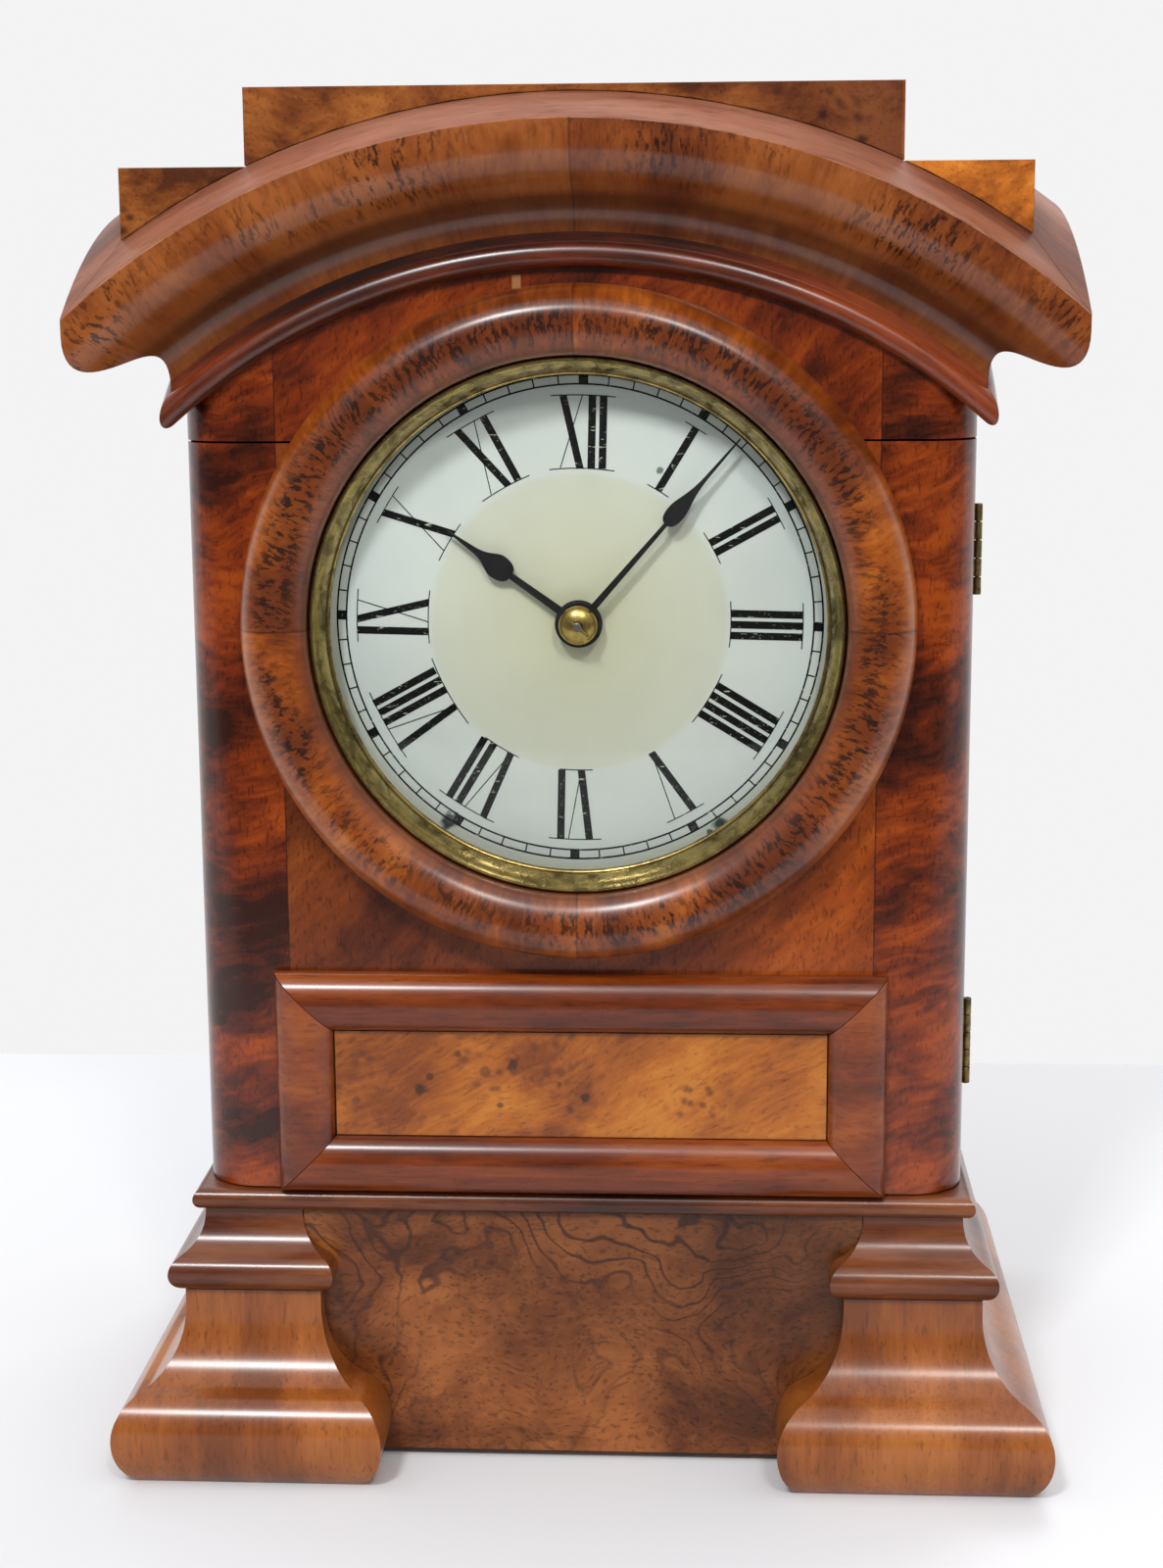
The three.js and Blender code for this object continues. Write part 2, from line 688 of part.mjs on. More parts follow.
// the four windows between the arms of a crossed-out wheel
function crossings(rimRadius, hubRadius, armHalf) {
  const rimShift = THREE.MathUtils.radToDeg(Math.asin(armHalf / rimRadius));
  const hubShift = THREE.MathUtils.radToDeg(Math.asin(armHalf / hubRadius));
  return [0, 90, 180, 270].map((start) => new THREE.Path([
    ...arcPoints(0, 0, rimRadius, rimRadius, start + rimShift, start + 90 - rimShift, 3),
    ...arcPoints(0, 0, hubRadius, hubRadius, start + 90 - hubShift, start + hubShift, 1),
  ].map((point) => new THREE.Vector2(...point))));
}

// a spindle from [radius, from, to] lengths that follow one another along Y
function spindle(lengths, segments = 8) {
  const outside = lengths.flatMap(([radius, from, to]) => [[radius, from], [radius, to]]);
  const ends = [lengths[0][1], lengths[lengths.length - 1][2]];
  return oriented(turned([[0, ends[0]], ...outside, [0, ends[1]]], segments));
}

// direction from one centre [x, z] to another
function direction(from, to) {
  return Math.atan2(to[1] - from[1], to[0] - from[0]);
}

function distance(a, b) {
  return Math.hypot(b[0] - a[0], b[1] - a[1]);
}

// A wheel turned so that a tooth space faces its pinion, and the pinion so that a leaf fills it.
function wheelDisc(teeth, module, towards, y0, y1, windows = []) {
  const shape = gearShape(teeth, module, wheelTooth, towards - Math.PI / teeth);
  shape.holes.push(...windows);
  return slab(shape, y0, y1);
}

function pinion(leaves, module, towards, y0, y1) {
  return slab(gearShape(leaves, module, pinionLeaf, towards), y0, y1);
}

// a point at given distances from two others, on the side chosen by the sign
function meet(a, b, fromA, fromB, side) {
  const span = distance(a, b);
  const along = (span ** 2 + fromA ** 2 - fromB ** 2) / (2 * span);
  const across = side * Math.sqrt(fromA ** 2 - along ** 2);
  const [ux, uz] = [(b[0] - a[0]) / span, (b[1] - a[1]) / span];
  return [a[0] + ux * along - uz * across, a[1] + uz * along + ux * across];
}

// ---------------------------------------------------------------- arbor centres [x, z]
const centreC = [0, dialCentreZ];
const barrelC = [-24, 218];
const escapeC = [0, 283.5];
const intermediateC = meet(
  barrelC, centreC,
  pitchRadius(barrelTeeth + intermediatePinionLeaves, barrelModule),
  pitchRadius(intermediateTeeth + centrePinionLeaves, intermediateModule), -1,
);
const thirdC = meet(
  centreC, escapeC,
  pitchRadius(centreTeeth + thirdPinionLeaves, centreModule),
  pitchRadius(thirdTeeth + escapePinionLeaves, thirdModule), -1,
);
const motionDistance = pitchRadius(cannonLeaves + minuteTeeth, motionModule);
const hourModule = (2 * motionDistance) / (minutePinionLeaves + hourTeeth);
const minuteC = [motionDistance * Math.SQRT1_2, dialCentreZ - motionDistance * Math.SQRT1_2];

// the pallets embrace eight and a half spaces and swing on the point where the tangents meet
const spacesEmbraced = 8.5;
const nibAngle = (Math.PI / escapeTeeth) * spacesEmbraced;
const swingC = [0, escapeC[1] + escapeRadius / Math.cos(nibAngle)];

// ---------------------------------------------------------------- movement frame
const pivotRadius = 0.8;
const pivotHole = pivotRadius + gap;
const arborRadius = 3;
const barrelPivotRadius = 1.5;
const centreArborRadius = 1.2;
const crutchArborRadius = 1.5;
const clickPivotRadius = 1;
const clickC = [barrelC[0] - 2.34, barrelC[1] + 13.3];
const frontPlateBackY = frontPlateY + plateThickness;
const backPlateBackY = backPlateY + plateThickness;

function through(radius, [x, z], segments = 6) {
  return rod(radius, frontPlateY - 1, backPlateBackY + 1, segments, x, z);
}

const pillarInset = 6;
const pillarTenon = 2.6;
const pillarXs = [plateHalfWidth - pillarInset, pillarInset - plateHalfWidth];
const pillarZs = [plateBottomZ + 6.5, plateTopZ - 8.5];
const pillarCentres = pillarXs.flatMap((x) => pillarZs.map((z) => [x, z]));
const pillarHoles = pillarCentres.map((centre) => through(pillarTenon + gap, centre, 10));
const trainHoles = [intermediateC, thirdC, escapeC].map((centre) => through(pivotHole, centre));

const studRadius = 0.8;
const studFrontY = 19;
const frontPlate = cut(
  box(-plateHalfWidth, plateHalfWidth, frontPlateY, frontPlateBackY, plateBottomZ, plateTopZ),
  ...pillarHoles, ...trainHoles,
  through(centreArborRadius + gap, centreC),
  through(barrelPivotRadius + gap, barrelC),
  through(pivotHole, swingC),
);
const minuteStud = rod(studRadius, studFrontY, frontPlateY + 1, 8, ...minuteC);
add('front_plate', join(frontPlate, minuteStud), brass);

add('back_plate', cut(
  box(-plateHalfWidth, plateHalfWidth, backPlateY, backPlateBackY, plateBottomZ, plateTopZ),
  ...pillarHoles, ...trainHoles,
  through(pivotHole, centreC),
  through(arborRadius + gap, barrelC, 12),
  through(crutchArborRadius + gap, swingC),
  through(clickPivotRadius + gap, clickC),
), brass);

const pillarSpan = [frontPlateBackY + gap, backPlateY - gap];
const boltRadius = 1.8;
const boltY = (frontPlateBackY + backPlateY) / 2;
const boltTopZ = pillarZs[0] + 1;
const boltBores = pillarXs.map((x) => post(boltRadius + gap, seatBottomZ - 1, boltTopZ + gap, 8, x, boltY));
const pillar = spindle([
  [pillarTenon, frontPlateY - 1, pillarSpan[0]],
  [pillarRadius, ...pillarSpan],
  [pillarTenon, pillarSpan[1], backPlateBackY + 1],
], 10);
const sideNames = ['right', 'left'];
const levelNames = ['lower', 'upper'];
pillarXs.forEach((x, i) => pillarZs.forEach((z, k) => add(
  `pillar_${levelNames[k]}_${sideNames[i]}`,
  cut(pillar.clone().translate(x, 0, z), ...(k === 0 ? boltBores : [])),
  brass,
)));

add('seat_board', cut(
  box(-seatHalf, seatHalf, seatFrontY, seatBackY, seatBottomZ, seatTopZ), ...boltBores,
), plainWood);
const boltHeadRadius = 4;
pillarXs.forEach((x, i) => add(`seat_bolt_${sideNames[i]}`, join(
  post(boltRadius, seatBottomZ - gap - 1, boltTopZ, 8, x, boltY),
  post(boltHeadRadius, seatBottomZ - gap - 3, seatBottomZ - gap, 10, x, boltY),
), steel));

// ---------------------------------------------------------------- going train
const frontPivot = [pivotRadius, frontPlateY + gap, frontPlateBackY + gap];
const backPivot = [pivotRadius, backPlateY - gap, backPlateBackY - gap];

// barrel: a closed drum with the great wheel at its back
const drumY = [40, 62.5];
const drumWall = 1.5;
const drumRadius = 21;
const greatWheelY = [drumY[1], drumY[1] + 2.5];
add('barrel', cut(
  join(
    rod(drumRadius, drumY[0], drumY[1] + 0.5, 24),
    wheelDisc(barrelTeeth, barrelModule, direction(barrelC, intermediateC), ...greatWheelY),
  ),
  rod(drumRadius - drumWall, drumY[0] + drumWall, drumY[1] - drumWall, 16),
  rod(arborRadius + gap, drumY[0] - 1, greatWheelY[1] + 1, 12),
), brass, [barrelC[0], 0, barrelC[1]]);

const ratchetY = [backPlateBackY + 0.6, backPlateBackY + 2.6];
const ratchetTeeth = 16;
const ratchetRadius = 10;
const squareHalf = 2.5;
const squareBackY = backPlateBackY + 16;
const ratchetPoints = Array.from({ length: ratchetTeeth }, (_, i) => [
  [ratchetRadius, i], [ratchetRadius - 1.8, i + 0.12],
]).flat().map(([radius, place]) => {
  const angle = (place * Math.PI * 2) / ratchetTeeth;
  return new THREE.Vector2(radius * Math.cos(angle), radius * Math.sin(angle));
});
add('winding_arbor', join(
  spindle([
    [barrelPivotRadius, frontPlateY + gap, frontPlateBackY + gap],
    [arborRadius, frontPlateBackY + gap, drumY[0] + drumWall + gap],
    [arborRadius + 3, drumY[0] + drumWall + gap, drumY[1] - drumWall - gap],
    [arborRadius, drumY[1] - drumWall - gap, ratchetY[1] + 1.4],
  ], 8),
  slab(ratchetPoints, ...ratchetY),
  box(-squareHalf, squareHalf, ratchetY[1], squareBackY, -squareHalf, squareHalf),
), steel, [barrelC[0], 0, barrelC[1]]);

// click: a lever from its pivot to just clear of the ratchet
const clickHub = 2.2;
const clickNose = [7.1, -4.2];
add('click', join(
  spindle([
    [clickPivotRadius, backPlateY + gap, ratchetY[0]],
    [clickHub, ...ratchetY],
    [clickHub - 0.6, ratchetY[1], ratchetY[1] + 1],
  ], 10),
  slab([[0, clickHub], [clickNose[0] + 0.4, clickNose[1] + 1.1], clickNose, [-0.6, -clickHub + 0.2]]
    .map((point) => new THREE.Vector2(...point)), ...ratchetY),
), steel, [clickC[0], 0, clickC[1]]);

// one arbor of the train: spindle with pivots and collets, wheel and pinion
function trainArbor(body, pinionY, wheelY, colletRadius) {
  const first = Math.min(pinionY[0], wheelY[0]);
  const collet = [wheelY[0] - 1.2, wheelY[1] + 1.2];
  return join(
    spindle([frontPivot, [body, frontPlateBackY + gap, backPlateY - gap], backPivot]),
    rod(colletRadius, Math.max(collet[0], first - 1.2), collet[1], 10),
  );
}

const intermediatePinionY = [61, 66.5];
const intermediateWheelY = [34, 36];
add('intermediate_wheel', join(
  trainArbor(2, intermediatePinionY, intermediateWheelY, 3.4),
  pinion(intermediatePinionLeaves, barrelModule, direction(intermediateC, barrelC),
    ...intermediatePinionY),
  wheelDisc(intermediateTeeth, intermediateModule, direction(intermediateC, centreC),
    ...intermediateWheelY, crossings(15.6, 5, 1.2)),
), brass, [intermediateC[0], 0, intermediateC[1]]);

const centrePinionY = [33, 38];
const centreWheelY = [67.5, 69];
const centreFrontY = -2.5;
// the pin driven through the arbor in front of the hands
const handPinY = -1.2;
const handPinRadius = 0.45;
const handPinLength = 8;
const handPinAngle = 40;
function handPin() {
  const geometry = new THREE.CylinderGeometry(handPinRadius, handPinRadius, handPinLength, 8);
  const turn = THREE.MathUtils.degToRad(handPinAngle);
  return geometry.rotateZ(Math.PI / 2).rotateY(turn).translate(0, handPinY, 0);
}

add('centre_wheel', join(
  spindle([
    [centreArborRadius, centreFrontY, frontPlateBackY + gap],
    [1.8, frontPlateBackY + gap, backPlateY - gap],
    backPivot,
  ], 10),
  rod(3, centreWheelY[0] - 1.2, centreWheelY[1] + 1.2, 10),
  pinion(centrePinionLeaves, intermediateModule, direction(centreC, intermediateC),
    ...centrePinionY),
  wheelDisc(centreTeeth, centreModule, direction(centreC, thirdC), ...centreWheelY,
    crossings(16.2, 4.4, 1)),
  handPin(),
), brass, dial.toArray());

const thirdPinionY = [66.5, 70];
const thirdWheelY = [50, 51.5];
add('third_wheel', join(
  trainArbor(pivotRadius, thirdPinionY, thirdWheelY, 2.4),
  pinion(thirdPinionLeaves, centreModule, direction(thirdC, centreC), ...thirdPinionY),
  wheelDisc(thirdTeeth, thirdModule, direction(thirdC, escapeC), ...thirdWheelY,
    crossings(12.8, 3.6, 0.9)),
), brass, [thirdC[0], 0, thirdC[1]]);

// escape wheel: its points stand a quarter pitch off both nibs
const escapePinionY = [48, 54];
const escapeWheelY = [40, 41.2];
const escapeDepth = 2.3;
const escapePitch = (Math.PI * 2) / escapeTeeth;
const escapePhase = Math.PI / 2 - nibAngle + escapePitch / 4;
const escapeOutline = Array.from({ length: escapeTeeth }, (_, i) => [
  [escapeRadius - escapeDepth, -0.2], [escapeRadius, 0], [escapeRadius - escapeDepth, 0.2],
].map(([radius, place]) => {
  const angle = escapePhase + escapePitch * (i + place);
  return new THREE.Vector2(radius * Math.cos(angle), radius * Math.sin(angle));
})).flat();
const escapeShape = new THREE.Shape(escapeOutline);
escapeShape.holes.push(...crossings(9, 3, 0.8));
add('escape_wheel', join(
  trainArbor(pivotRadius, escapePinionY, escapeWheelY, 2),
  pinion(escapePinionLeaves, thirdModule, direction(escapeC, thirdC), ...escapePinionY),
  slab(escapeShape, ...escapeWheelY),
), brass, [escapeC[0], 0, escapeC[1]]);

// ---------------------------------------------------------------- anchor, crutch and pendulum
const nibClearance = 0.15;
const nibHalf = 0.3;
const anchorY = [39.5, 41.7];
const anchorBand = [15.4, 18.4];
const crutchY = [backPlateBackY + 2.6, backPlateBackY + 4.4];
const crutchLength = 39;
const forkInner = rodRadius + gap;
const forkHalf = 3;
const forkHeight = 4;
const bridgeY = [80, 82];
const escapeDrop = escapeC[1] - swingC[1];

function anchorNib(side) {
  const nib = box(-nibHalf, nibHalf, ...anchorY, escapeRadius + nibClearance, anchorBand[0] + 1);
  return nib.rotateY(side * nibAngle).translate(0, 0, escapeDrop);
}

const nibDegrees = THREE.MathUtils.radToDeg(nibAngle);
const bandSpan = [90 - nibDegrees - 2.5, 90 + nibDegrees + 2.5];
const anchorShape = new THREE.Shape([
  ...arcPoints(0, escapeDrop, anchorBand[1], anchorBand[1], ...bandSpan, 8),
  ...arcPoints(0, escapeDrop, anchorBand[0], anchorBand[0], ...bandSpan.reverse(), 6),
].map((point) => new THREE.Vector2(...point)));
add('anchor', join(
  spindle([
    frontPivot,
    [crutchArborRadius, frontPlateBackY + gap, bridgeY[0] - gap],
    [pivotRadius, bridgeY[0] - gap, bridgeY[1] - gap],
  ]),
  slab(anchorShape, ...anchorY),
  anchorNib(1), anchorNib(-1),
  rod(3, ...crutchY, 10),
  box(-forkInner, forkInner, ...crutchY, -crutchLength, 0),
  box(-forkHalf, forkHalf, crutchY[0], bridgeY[1], -crutchLength, forkHeight - crutchLength),
  box(forkInner, forkHalf, crutchY[1], pendulumY + 4, -crutchLength, forkHeight - crutchLength),
  box(-forkHalf, -forkInner, crutchY[1], pendulumY + 4, -crutchLength, forkHeight - crutchLength),
), steel, [swingC[0], 0, swingC[1]]);

// cock that carries the crutch arbor's back pivot and the pendulum
const cockHalf = 17;
const cockZ = [-6.5, 9.5];
const cockWall = 3;
const flangeY = [backPlateBackY + gap, backPlateBackY + 2];
const springY = [83, 89];
const springHalf = 0.15;
const stubHalf = 4;
const stubBottomZ = 3.4;
const springBottom = -5.6;
add('pendulum_cock', join(
  cut(
    join(
      box(-cockHalf, cockHalf, ...flangeY, ...cockZ),
      box(-cockHalf, cockWall - cockHalf, flangeY[1], bridgeY[1], ...cockZ),
      box(cockHalf - cockWall, cockHalf, flangeY[1], bridgeY[1], ...cockZ),
      box(-cockHalf, cockHalf, ...bridgeY, ...cockZ),
      box(-stubHalf, stubHalf, bridgeY[1], springY[1] + 1, stubBottomZ, cockZ[1]),
    ),
    rod(4, flangeY[0] - 1, flangeY[1] + 1, 12),
    rod(pivotHole, bridgeY[0] - 1, bridgeY[1] + 1, 8),
  ),
  box(-springHalf, springHalf, ...springY, springBottom, stubBottomZ + 1),
), brass, [swingC[0], 0, swingC[1]]);

const blockHalf = 2.5;
const blockZ = [-12, -2.6];
const slotHalf = 0.75;
const rodBottom = -(bobDrop + bobRadius + 8);
add('pendulum_rod', join(
  cut(
    box(-blockHalf, blockHalf, ...springY, ...blockZ),
    box(-slotHalf, slotHalf, springY[0] - 1, springY[1] + 1, springBottom - gap, 0),
  ),
  post(rodRadius, rodBottom, blockZ[0] + 1, 10, 0, pendulumY),
), steel, [swingC[0], 0, swingC[1]]);

const bobProfile = [
  [0, -bobThickness / 2], [9, -4.6], [15.5, -3.2], [bobRadius, -0.6], [bobRadius, 0.6],
  [15.5, 3.2], [9, 4.6], [0, bobThickness / 2],
];
add('bob', cut(
  oriented(turned(bobProfile, 18)),
  post(rodRadius + gap, -bobRadius - 1, bobRadius + 1, 10),
), brass, [swingC[0], pendulumY, swingC[1] - bobDrop]);

const nutRadius = 5;
const nutHeight = 4;
const nutTop = -bobDrop - bobRadius - gap;
add('rating_nut', cut(
  post(nutRadius, nutTop - nutHeight, nutTop, 16),
  post(rodRadius + gap, nutTop - nutHeight - 1, nutTop + 1, 10),
), brass, [swingC[0], pendulumY, swingC[1]]);

// ---------------------------------------------------------------- motion work
const cannonY = [24.3, 27];
const cannonRadius = 2.1;
const cannonBore = centreArborRadius + gap;
const cannonPipeY = [minuteHandY, 28.5];
add('cannon_pinion', cut(
  join(
    rod(cannonRadius, ...cannonPipeY, 14),
    pinion(cannonLeaves, motionModule, direction(centreC, minuteC), ...cannonY),
  ),
  rod(cannonBore, cannonPipeY[0] - 1, cannonPipeY[1] + 1, 12),
), brass, dial.toArray());

const minuteWheelY = [24.8, 26.3];
const minutePinionY = [19.2, minuteWheelY[0]];
add('minute_wheel', cut(
  join(
    wheelDisc(minuteTeeth, motionModule, direction(minuteC, centreC), ...minuteWheelY),
    pinion(minutePinionLeaves, hourModule, direction(minuteC, centreC), ...minutePinionY),
  ),
  rod(studRadius + gap, minutePinionY[0] - 1, minuteWheelY[1] + 1, 8),
), brass, [minuteC[0], 0, minuteC[1]]);

const hourWheelY = [20, 21.5];
const hourPipeRadius = 3.6;
const hourBore = 2.6;
const hourPipeFrontY = hourHandY - 0.2;
add('hour_wheel', cut(
  join(
    wheelDisc(hourTeeth, hourModule, direction(centreC, minuteC), ...hourWheelY),
    rod(hourPipeRadius, hourPipeFrontY, hourWheelY[1], 16),
  ),
  rod(hourBore, hourPipeFrontY - 1, hourWheelY[1] + 1, 14),
), brass, dial.toArray());

// ---------------------------------------------------------------- dial and hands
const dialDisc = new THREE.Shape();
dialDisc.absarc(0, 0, dialRadius, 0, Math.PI * 2, false);
dialDisc.holes.push(circleHole(dialHoleRadius));
const dialFootRadius = 2.5;
const dialFeet = [-1, 1].flatMap((sx) => [-1, 1].map((sz) => rod(
  dialFootRadius, dialY + dialThickness - 0.5, frontPlateY - gap, 8,
  sx * dialFootOffset, sz * dialFootOffset,
)));
add('dial', join(slab(dialDisc, dialY, dialY + dialThickness, 14), ...dialFeet), dialPaint,
  dial.toArray());

// a spade hand lying along +Z, with its broad pear at a share of the length
function hand(length, bossRadius, stemHalf, pearShare, pearHalf, holeRadius, y) {
  const tipHalf = 0.2;
  const pearAt = length * pearShare;
  const side = new THREE.CatmullRomCurve3([
    [stemHalf, bossRadius * 0.6], [stemHalf * 0.8, pearAt * 0.55], [stemHalf * 0.9, pearAt * 0.8],
    [pearHalf, pearAt], [pearHalf * 0.45, pearAt + (length - pearAt) * 0.32],
    [stemHalf * 0.6, pearAt + (length - pearAt) * 0.6], [tipHalf, length],
  ].map(([x, z]) => new THREE.Vector3(x, 0, z))).getPoints(10);
  const right = side.map((point) => new THREE.Vector2(point.x, point.z));
  const left = right.map((point) => new THREE.Vector2(-point.x, point.y)).reverse();
  const blade = slab([...right, ...left], y, y + handThickness);
  return cut(
    join(blade, rod(bossRadius, y, y + handThickness, 16)),
    rod(holeRadius, y - 1, y + 1 + handThickness, 12),
  );
}

function pointed(geometry, degrees) {
  return geometry.rotateY(THREE.MathUtils.degToRad(degrees));
}

add('minute_hand', pointed(
  hand(minuteHandLength, 6.5, 1.15, 0.604, 2.5, cannonRadius + gap, minuteHandY), minuteHandAngle,
), bluedSteel, dial.toArray());
add('hour_hand', pointed(
  hand(hourHandLength, 6.8, 1.3, 0.629, 3.4, hourPipeRadius + gap, hourHandY), hourHandAngle,
), bluedSteel, dial.toArray());

const colletRadius = 5.6;
const colletY = [minuteHandY - gap, -0.3];
const colletProfile = [
  [cannonBore, colletY[0]],
  [colletRadius, colletY[0]],
  ...arcPoints(0, colletY[0] - 0.6, colletRadius, colletY[0] - 0.6 - colletY[1], 0, 70, 3)
    .map(([r, y]) => [r, 2 * (colletY[0] - 0.6) - y]),
  [cannonBore, colletY[1]],
  [cannonBore, colletY[0]],
];
add('hand_collet', oriented(turned(colletProfile, 14)), brass, dial.toArray());

// origin under the middle of the whole clock
model.updateMatrixWorld(true);
const bounds = new THREE.Box3().setFromObject(model);
const middleY = (bounds.min.y + bounds.max.y) / 2;
for (const mesh of model.children) mesh.position.y -= middleY;

export default model;
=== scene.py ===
"""Looks of a bracket clock: fine mouldings, ring, bezel, painted dial, hands and woods."""
from math import asin, cos, hypot, pi, radians, sin, sqrt

import bmesh
import bpy
from mathutils import Matrix, Vector


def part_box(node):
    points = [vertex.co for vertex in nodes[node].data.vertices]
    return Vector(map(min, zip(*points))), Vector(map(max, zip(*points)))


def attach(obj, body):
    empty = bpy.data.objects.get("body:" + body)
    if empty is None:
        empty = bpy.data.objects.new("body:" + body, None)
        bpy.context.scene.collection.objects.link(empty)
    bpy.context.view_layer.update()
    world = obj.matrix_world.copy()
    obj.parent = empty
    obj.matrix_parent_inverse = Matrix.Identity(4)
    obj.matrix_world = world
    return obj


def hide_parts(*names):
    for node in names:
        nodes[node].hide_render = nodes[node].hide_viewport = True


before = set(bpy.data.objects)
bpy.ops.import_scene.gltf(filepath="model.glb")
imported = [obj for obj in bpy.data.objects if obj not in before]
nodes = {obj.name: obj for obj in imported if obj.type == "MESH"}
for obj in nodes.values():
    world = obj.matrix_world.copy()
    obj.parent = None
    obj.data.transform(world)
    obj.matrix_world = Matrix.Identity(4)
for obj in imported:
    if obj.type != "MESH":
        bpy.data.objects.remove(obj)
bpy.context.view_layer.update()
scene = bpy.context.scene

# -------- sizes
# Millimetres, with X from the middle, Y from the door's front face to the back and Z from the
# floor; the frame gives the door's place.
MM = 0.001
DOOR_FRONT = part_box("door")[0].y
GAP = 0.3
MITRE = 0.15

CASE_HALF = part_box("door")[1].x / MM
CASE_DEPTH = (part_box("side_right")[1].y - DOOR_FRONT) / MM
CORNER_RADIUS = 16
DOOR_THICKNESS = 18
DOOR_Z = [corner.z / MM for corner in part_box("door")]
FRIEZE_Z = [corner.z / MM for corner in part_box("frieze")]
OPENING_RADIUS = 77.5

FOOT_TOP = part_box("foot_left")[1].z / MM
CAP_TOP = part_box("foot_cap_left")[1].z / MM
FOOT_INNER_X = 82.8
FOOT_FRONT_DEPTH = 20
RUNNER_INNER_X = 107.6
APRON_FRONT = 0.5
PLATFORM_NOSE = 3
PLATFORM_THICKNESS = 6.5

ARCH_Z = 181
BEAD_RADIUS = 171.2
BEAD_HEIGHT = 7
BEAD_PROJECTION = 4
BEAD_STEP = 1
HOOD_NOSE = 25.4
ARRIS = 38.3
BEVEL_INSET = 11.2
BEVEL_HEIGHT = 46
SIDE_RISE = 33
SIDE_MID = CASE_DEPTH / 2

DIAL_Z = 252.5
DIAL_CENTRE = (0, 0, DIAL_Z)
RING_OUTER = 95.4
RING_INNER = 75.8
RING_CREST = 86.5
RING_HEIGHT = 15
RING_INNER_HEIGHT = 8.5
RING_OUTER_HEIGHT = 3
BEZEL_OUTER = RING_INNER - GAP
BEZEL_INNER = 70.5
BEZEL_FRONT = -8
BEZEL_BACK = 6
BEZEL_WALL = 1.3
LIP_THICKNESS = 0.8
GLASS_RIM = BEZEL_OUTER - BEZEL_WALL - GAP
GLASS_RIM_Y = LIP_THICKNESS + 1
GLASS_THICKNESS = 1.5
GLASS_RISE = 8
DIAL_RADIUS = 74.5
DIAL_Y = 8.5
DIAL_THICKNESS = 1.2
DIAL_HOLE = 4.2

PANEL_HALF = 89
PANEL_TOP = 151.4
PANEL_WIDTH = 17
PANEL_HEIGHT = 8


def at(x, y, z):
    """A point in metres in the frame from clock millimetres."""
    return Vector((x * MM, DOOR_FRONT + y * MM, z * MM))


def linked(name, data):
    """A new object of the data, in the scene."""
    made = bpy.data.objects.new(name, data)
    scene.collection.objects.link(made)
    return made


def turn_of(degrees):
    """Cosine and sine of an angle."""
    return cos(radians(degrees)), sin(radians(degrees))


# -------- camera
# Solved from the photograph: where the lens stood and how it was turned.
CAMERA = at(40.57, -707.74, 340.88)
PITCH_DOWN = 10.681
YAW_LEFT = 3.211
ROLL = 0.361
FOCAL_PIXELS = 2572.3
IMAGE_HEIGHT = 1600
SENSOR_HEIGHT = 24

camera_data = bpy.data.cameras.new("camera")
camera_data.sensor_fit = "VERTICAL"
camera_data.sensor_height = SENSOR_HEIGHT
camera_data.lens = FOCAL_PIXELS / IMAGE_HEIGHT * SENSOR_HEIGHT
camera = linked("camera", camera_data)
turn = (
    Matrix.Rotation(radians(YAW_LEFT), 4, "Z")
    @ Matrix.Rotation(radians(90 - PITCH_DOWN), 4, "X")
    @ Matrix.Rotation(radians(-ROLL), 4, "Z")
)
camera.matrix_world = Matrix.Translation(CAMERA) @ turn
bpy.context.scene.camera = camera
bpy.context.scene.view_settings.view_transform = "Standard"

# -------- mesh helpers
SHARP = 35  # degrees; edges sharper than this stay hard
MERGE = 1e-7


def arc(cx, cy, rx, ry, start, end, steps):
    """Points of an ellipse arc; angles in degrees."""
    turns = [turn_of(start + (end - start) * i / steps) for i in range(steps + 1)]
    return [(cx + rx * c, cy + ry * s) for c, s in turns]


def bezier(a, b, c, d, steps):
    """Points of a cubic curve between a and d."""
    points = []
    for i in range(steps + 1):
        t = i / steps
        s = 1 - t
        weights = (s * s * s, 3 * s * s * t, 3 * s * t * t, t * t * t)
        points.append(tuple(
            sum(w * p[k] for w, p in zip(weights, (a, b, c, d))) for k in (0, 1)
        ))
    return points


def new_object(name, points, faces, materials, face_slots=None, sharp=SHARP):
    """A closed mesh from clock millimetres."""
    mesh = bpy.data.meshes.new(name)
    mesh.from_pydata([at(*p) for p in points], [], faces)
    if face_slots:
        mesh.polygons.foreach_set("material_index", face_slots)
    return finish_mesh(name, mesh, materials, sharp)


def finish_mesh(name, mesh, materials, sharp):
    """An object of the mesh, merged, facing outwards and smooth between its sharp edges."""
    slots = [face.material_index for face in mesh.polygons]
    mesh.materials.clear()
    for material in materials:
        mesh.materials.append(material)
    mesh.polygons.foreach_set("material_index", slots)
    work = bmesh.new()
    work.from_mesh(mesh)
    bmesh.ops.remove_doubles(work, verts=work.verts, dist=MERGE)
    bmesh.ops.recalc_face_normals(work, faces=work.faces)
    work.to_mesh(mesh)
    work.free()
    mesh.polygons.foreach_set("use_smooth", [True] * len(mesh.polygons))
    mesh.set_sharp_from_angle(angle=radians(sharp))
    return linked(name, mesh)


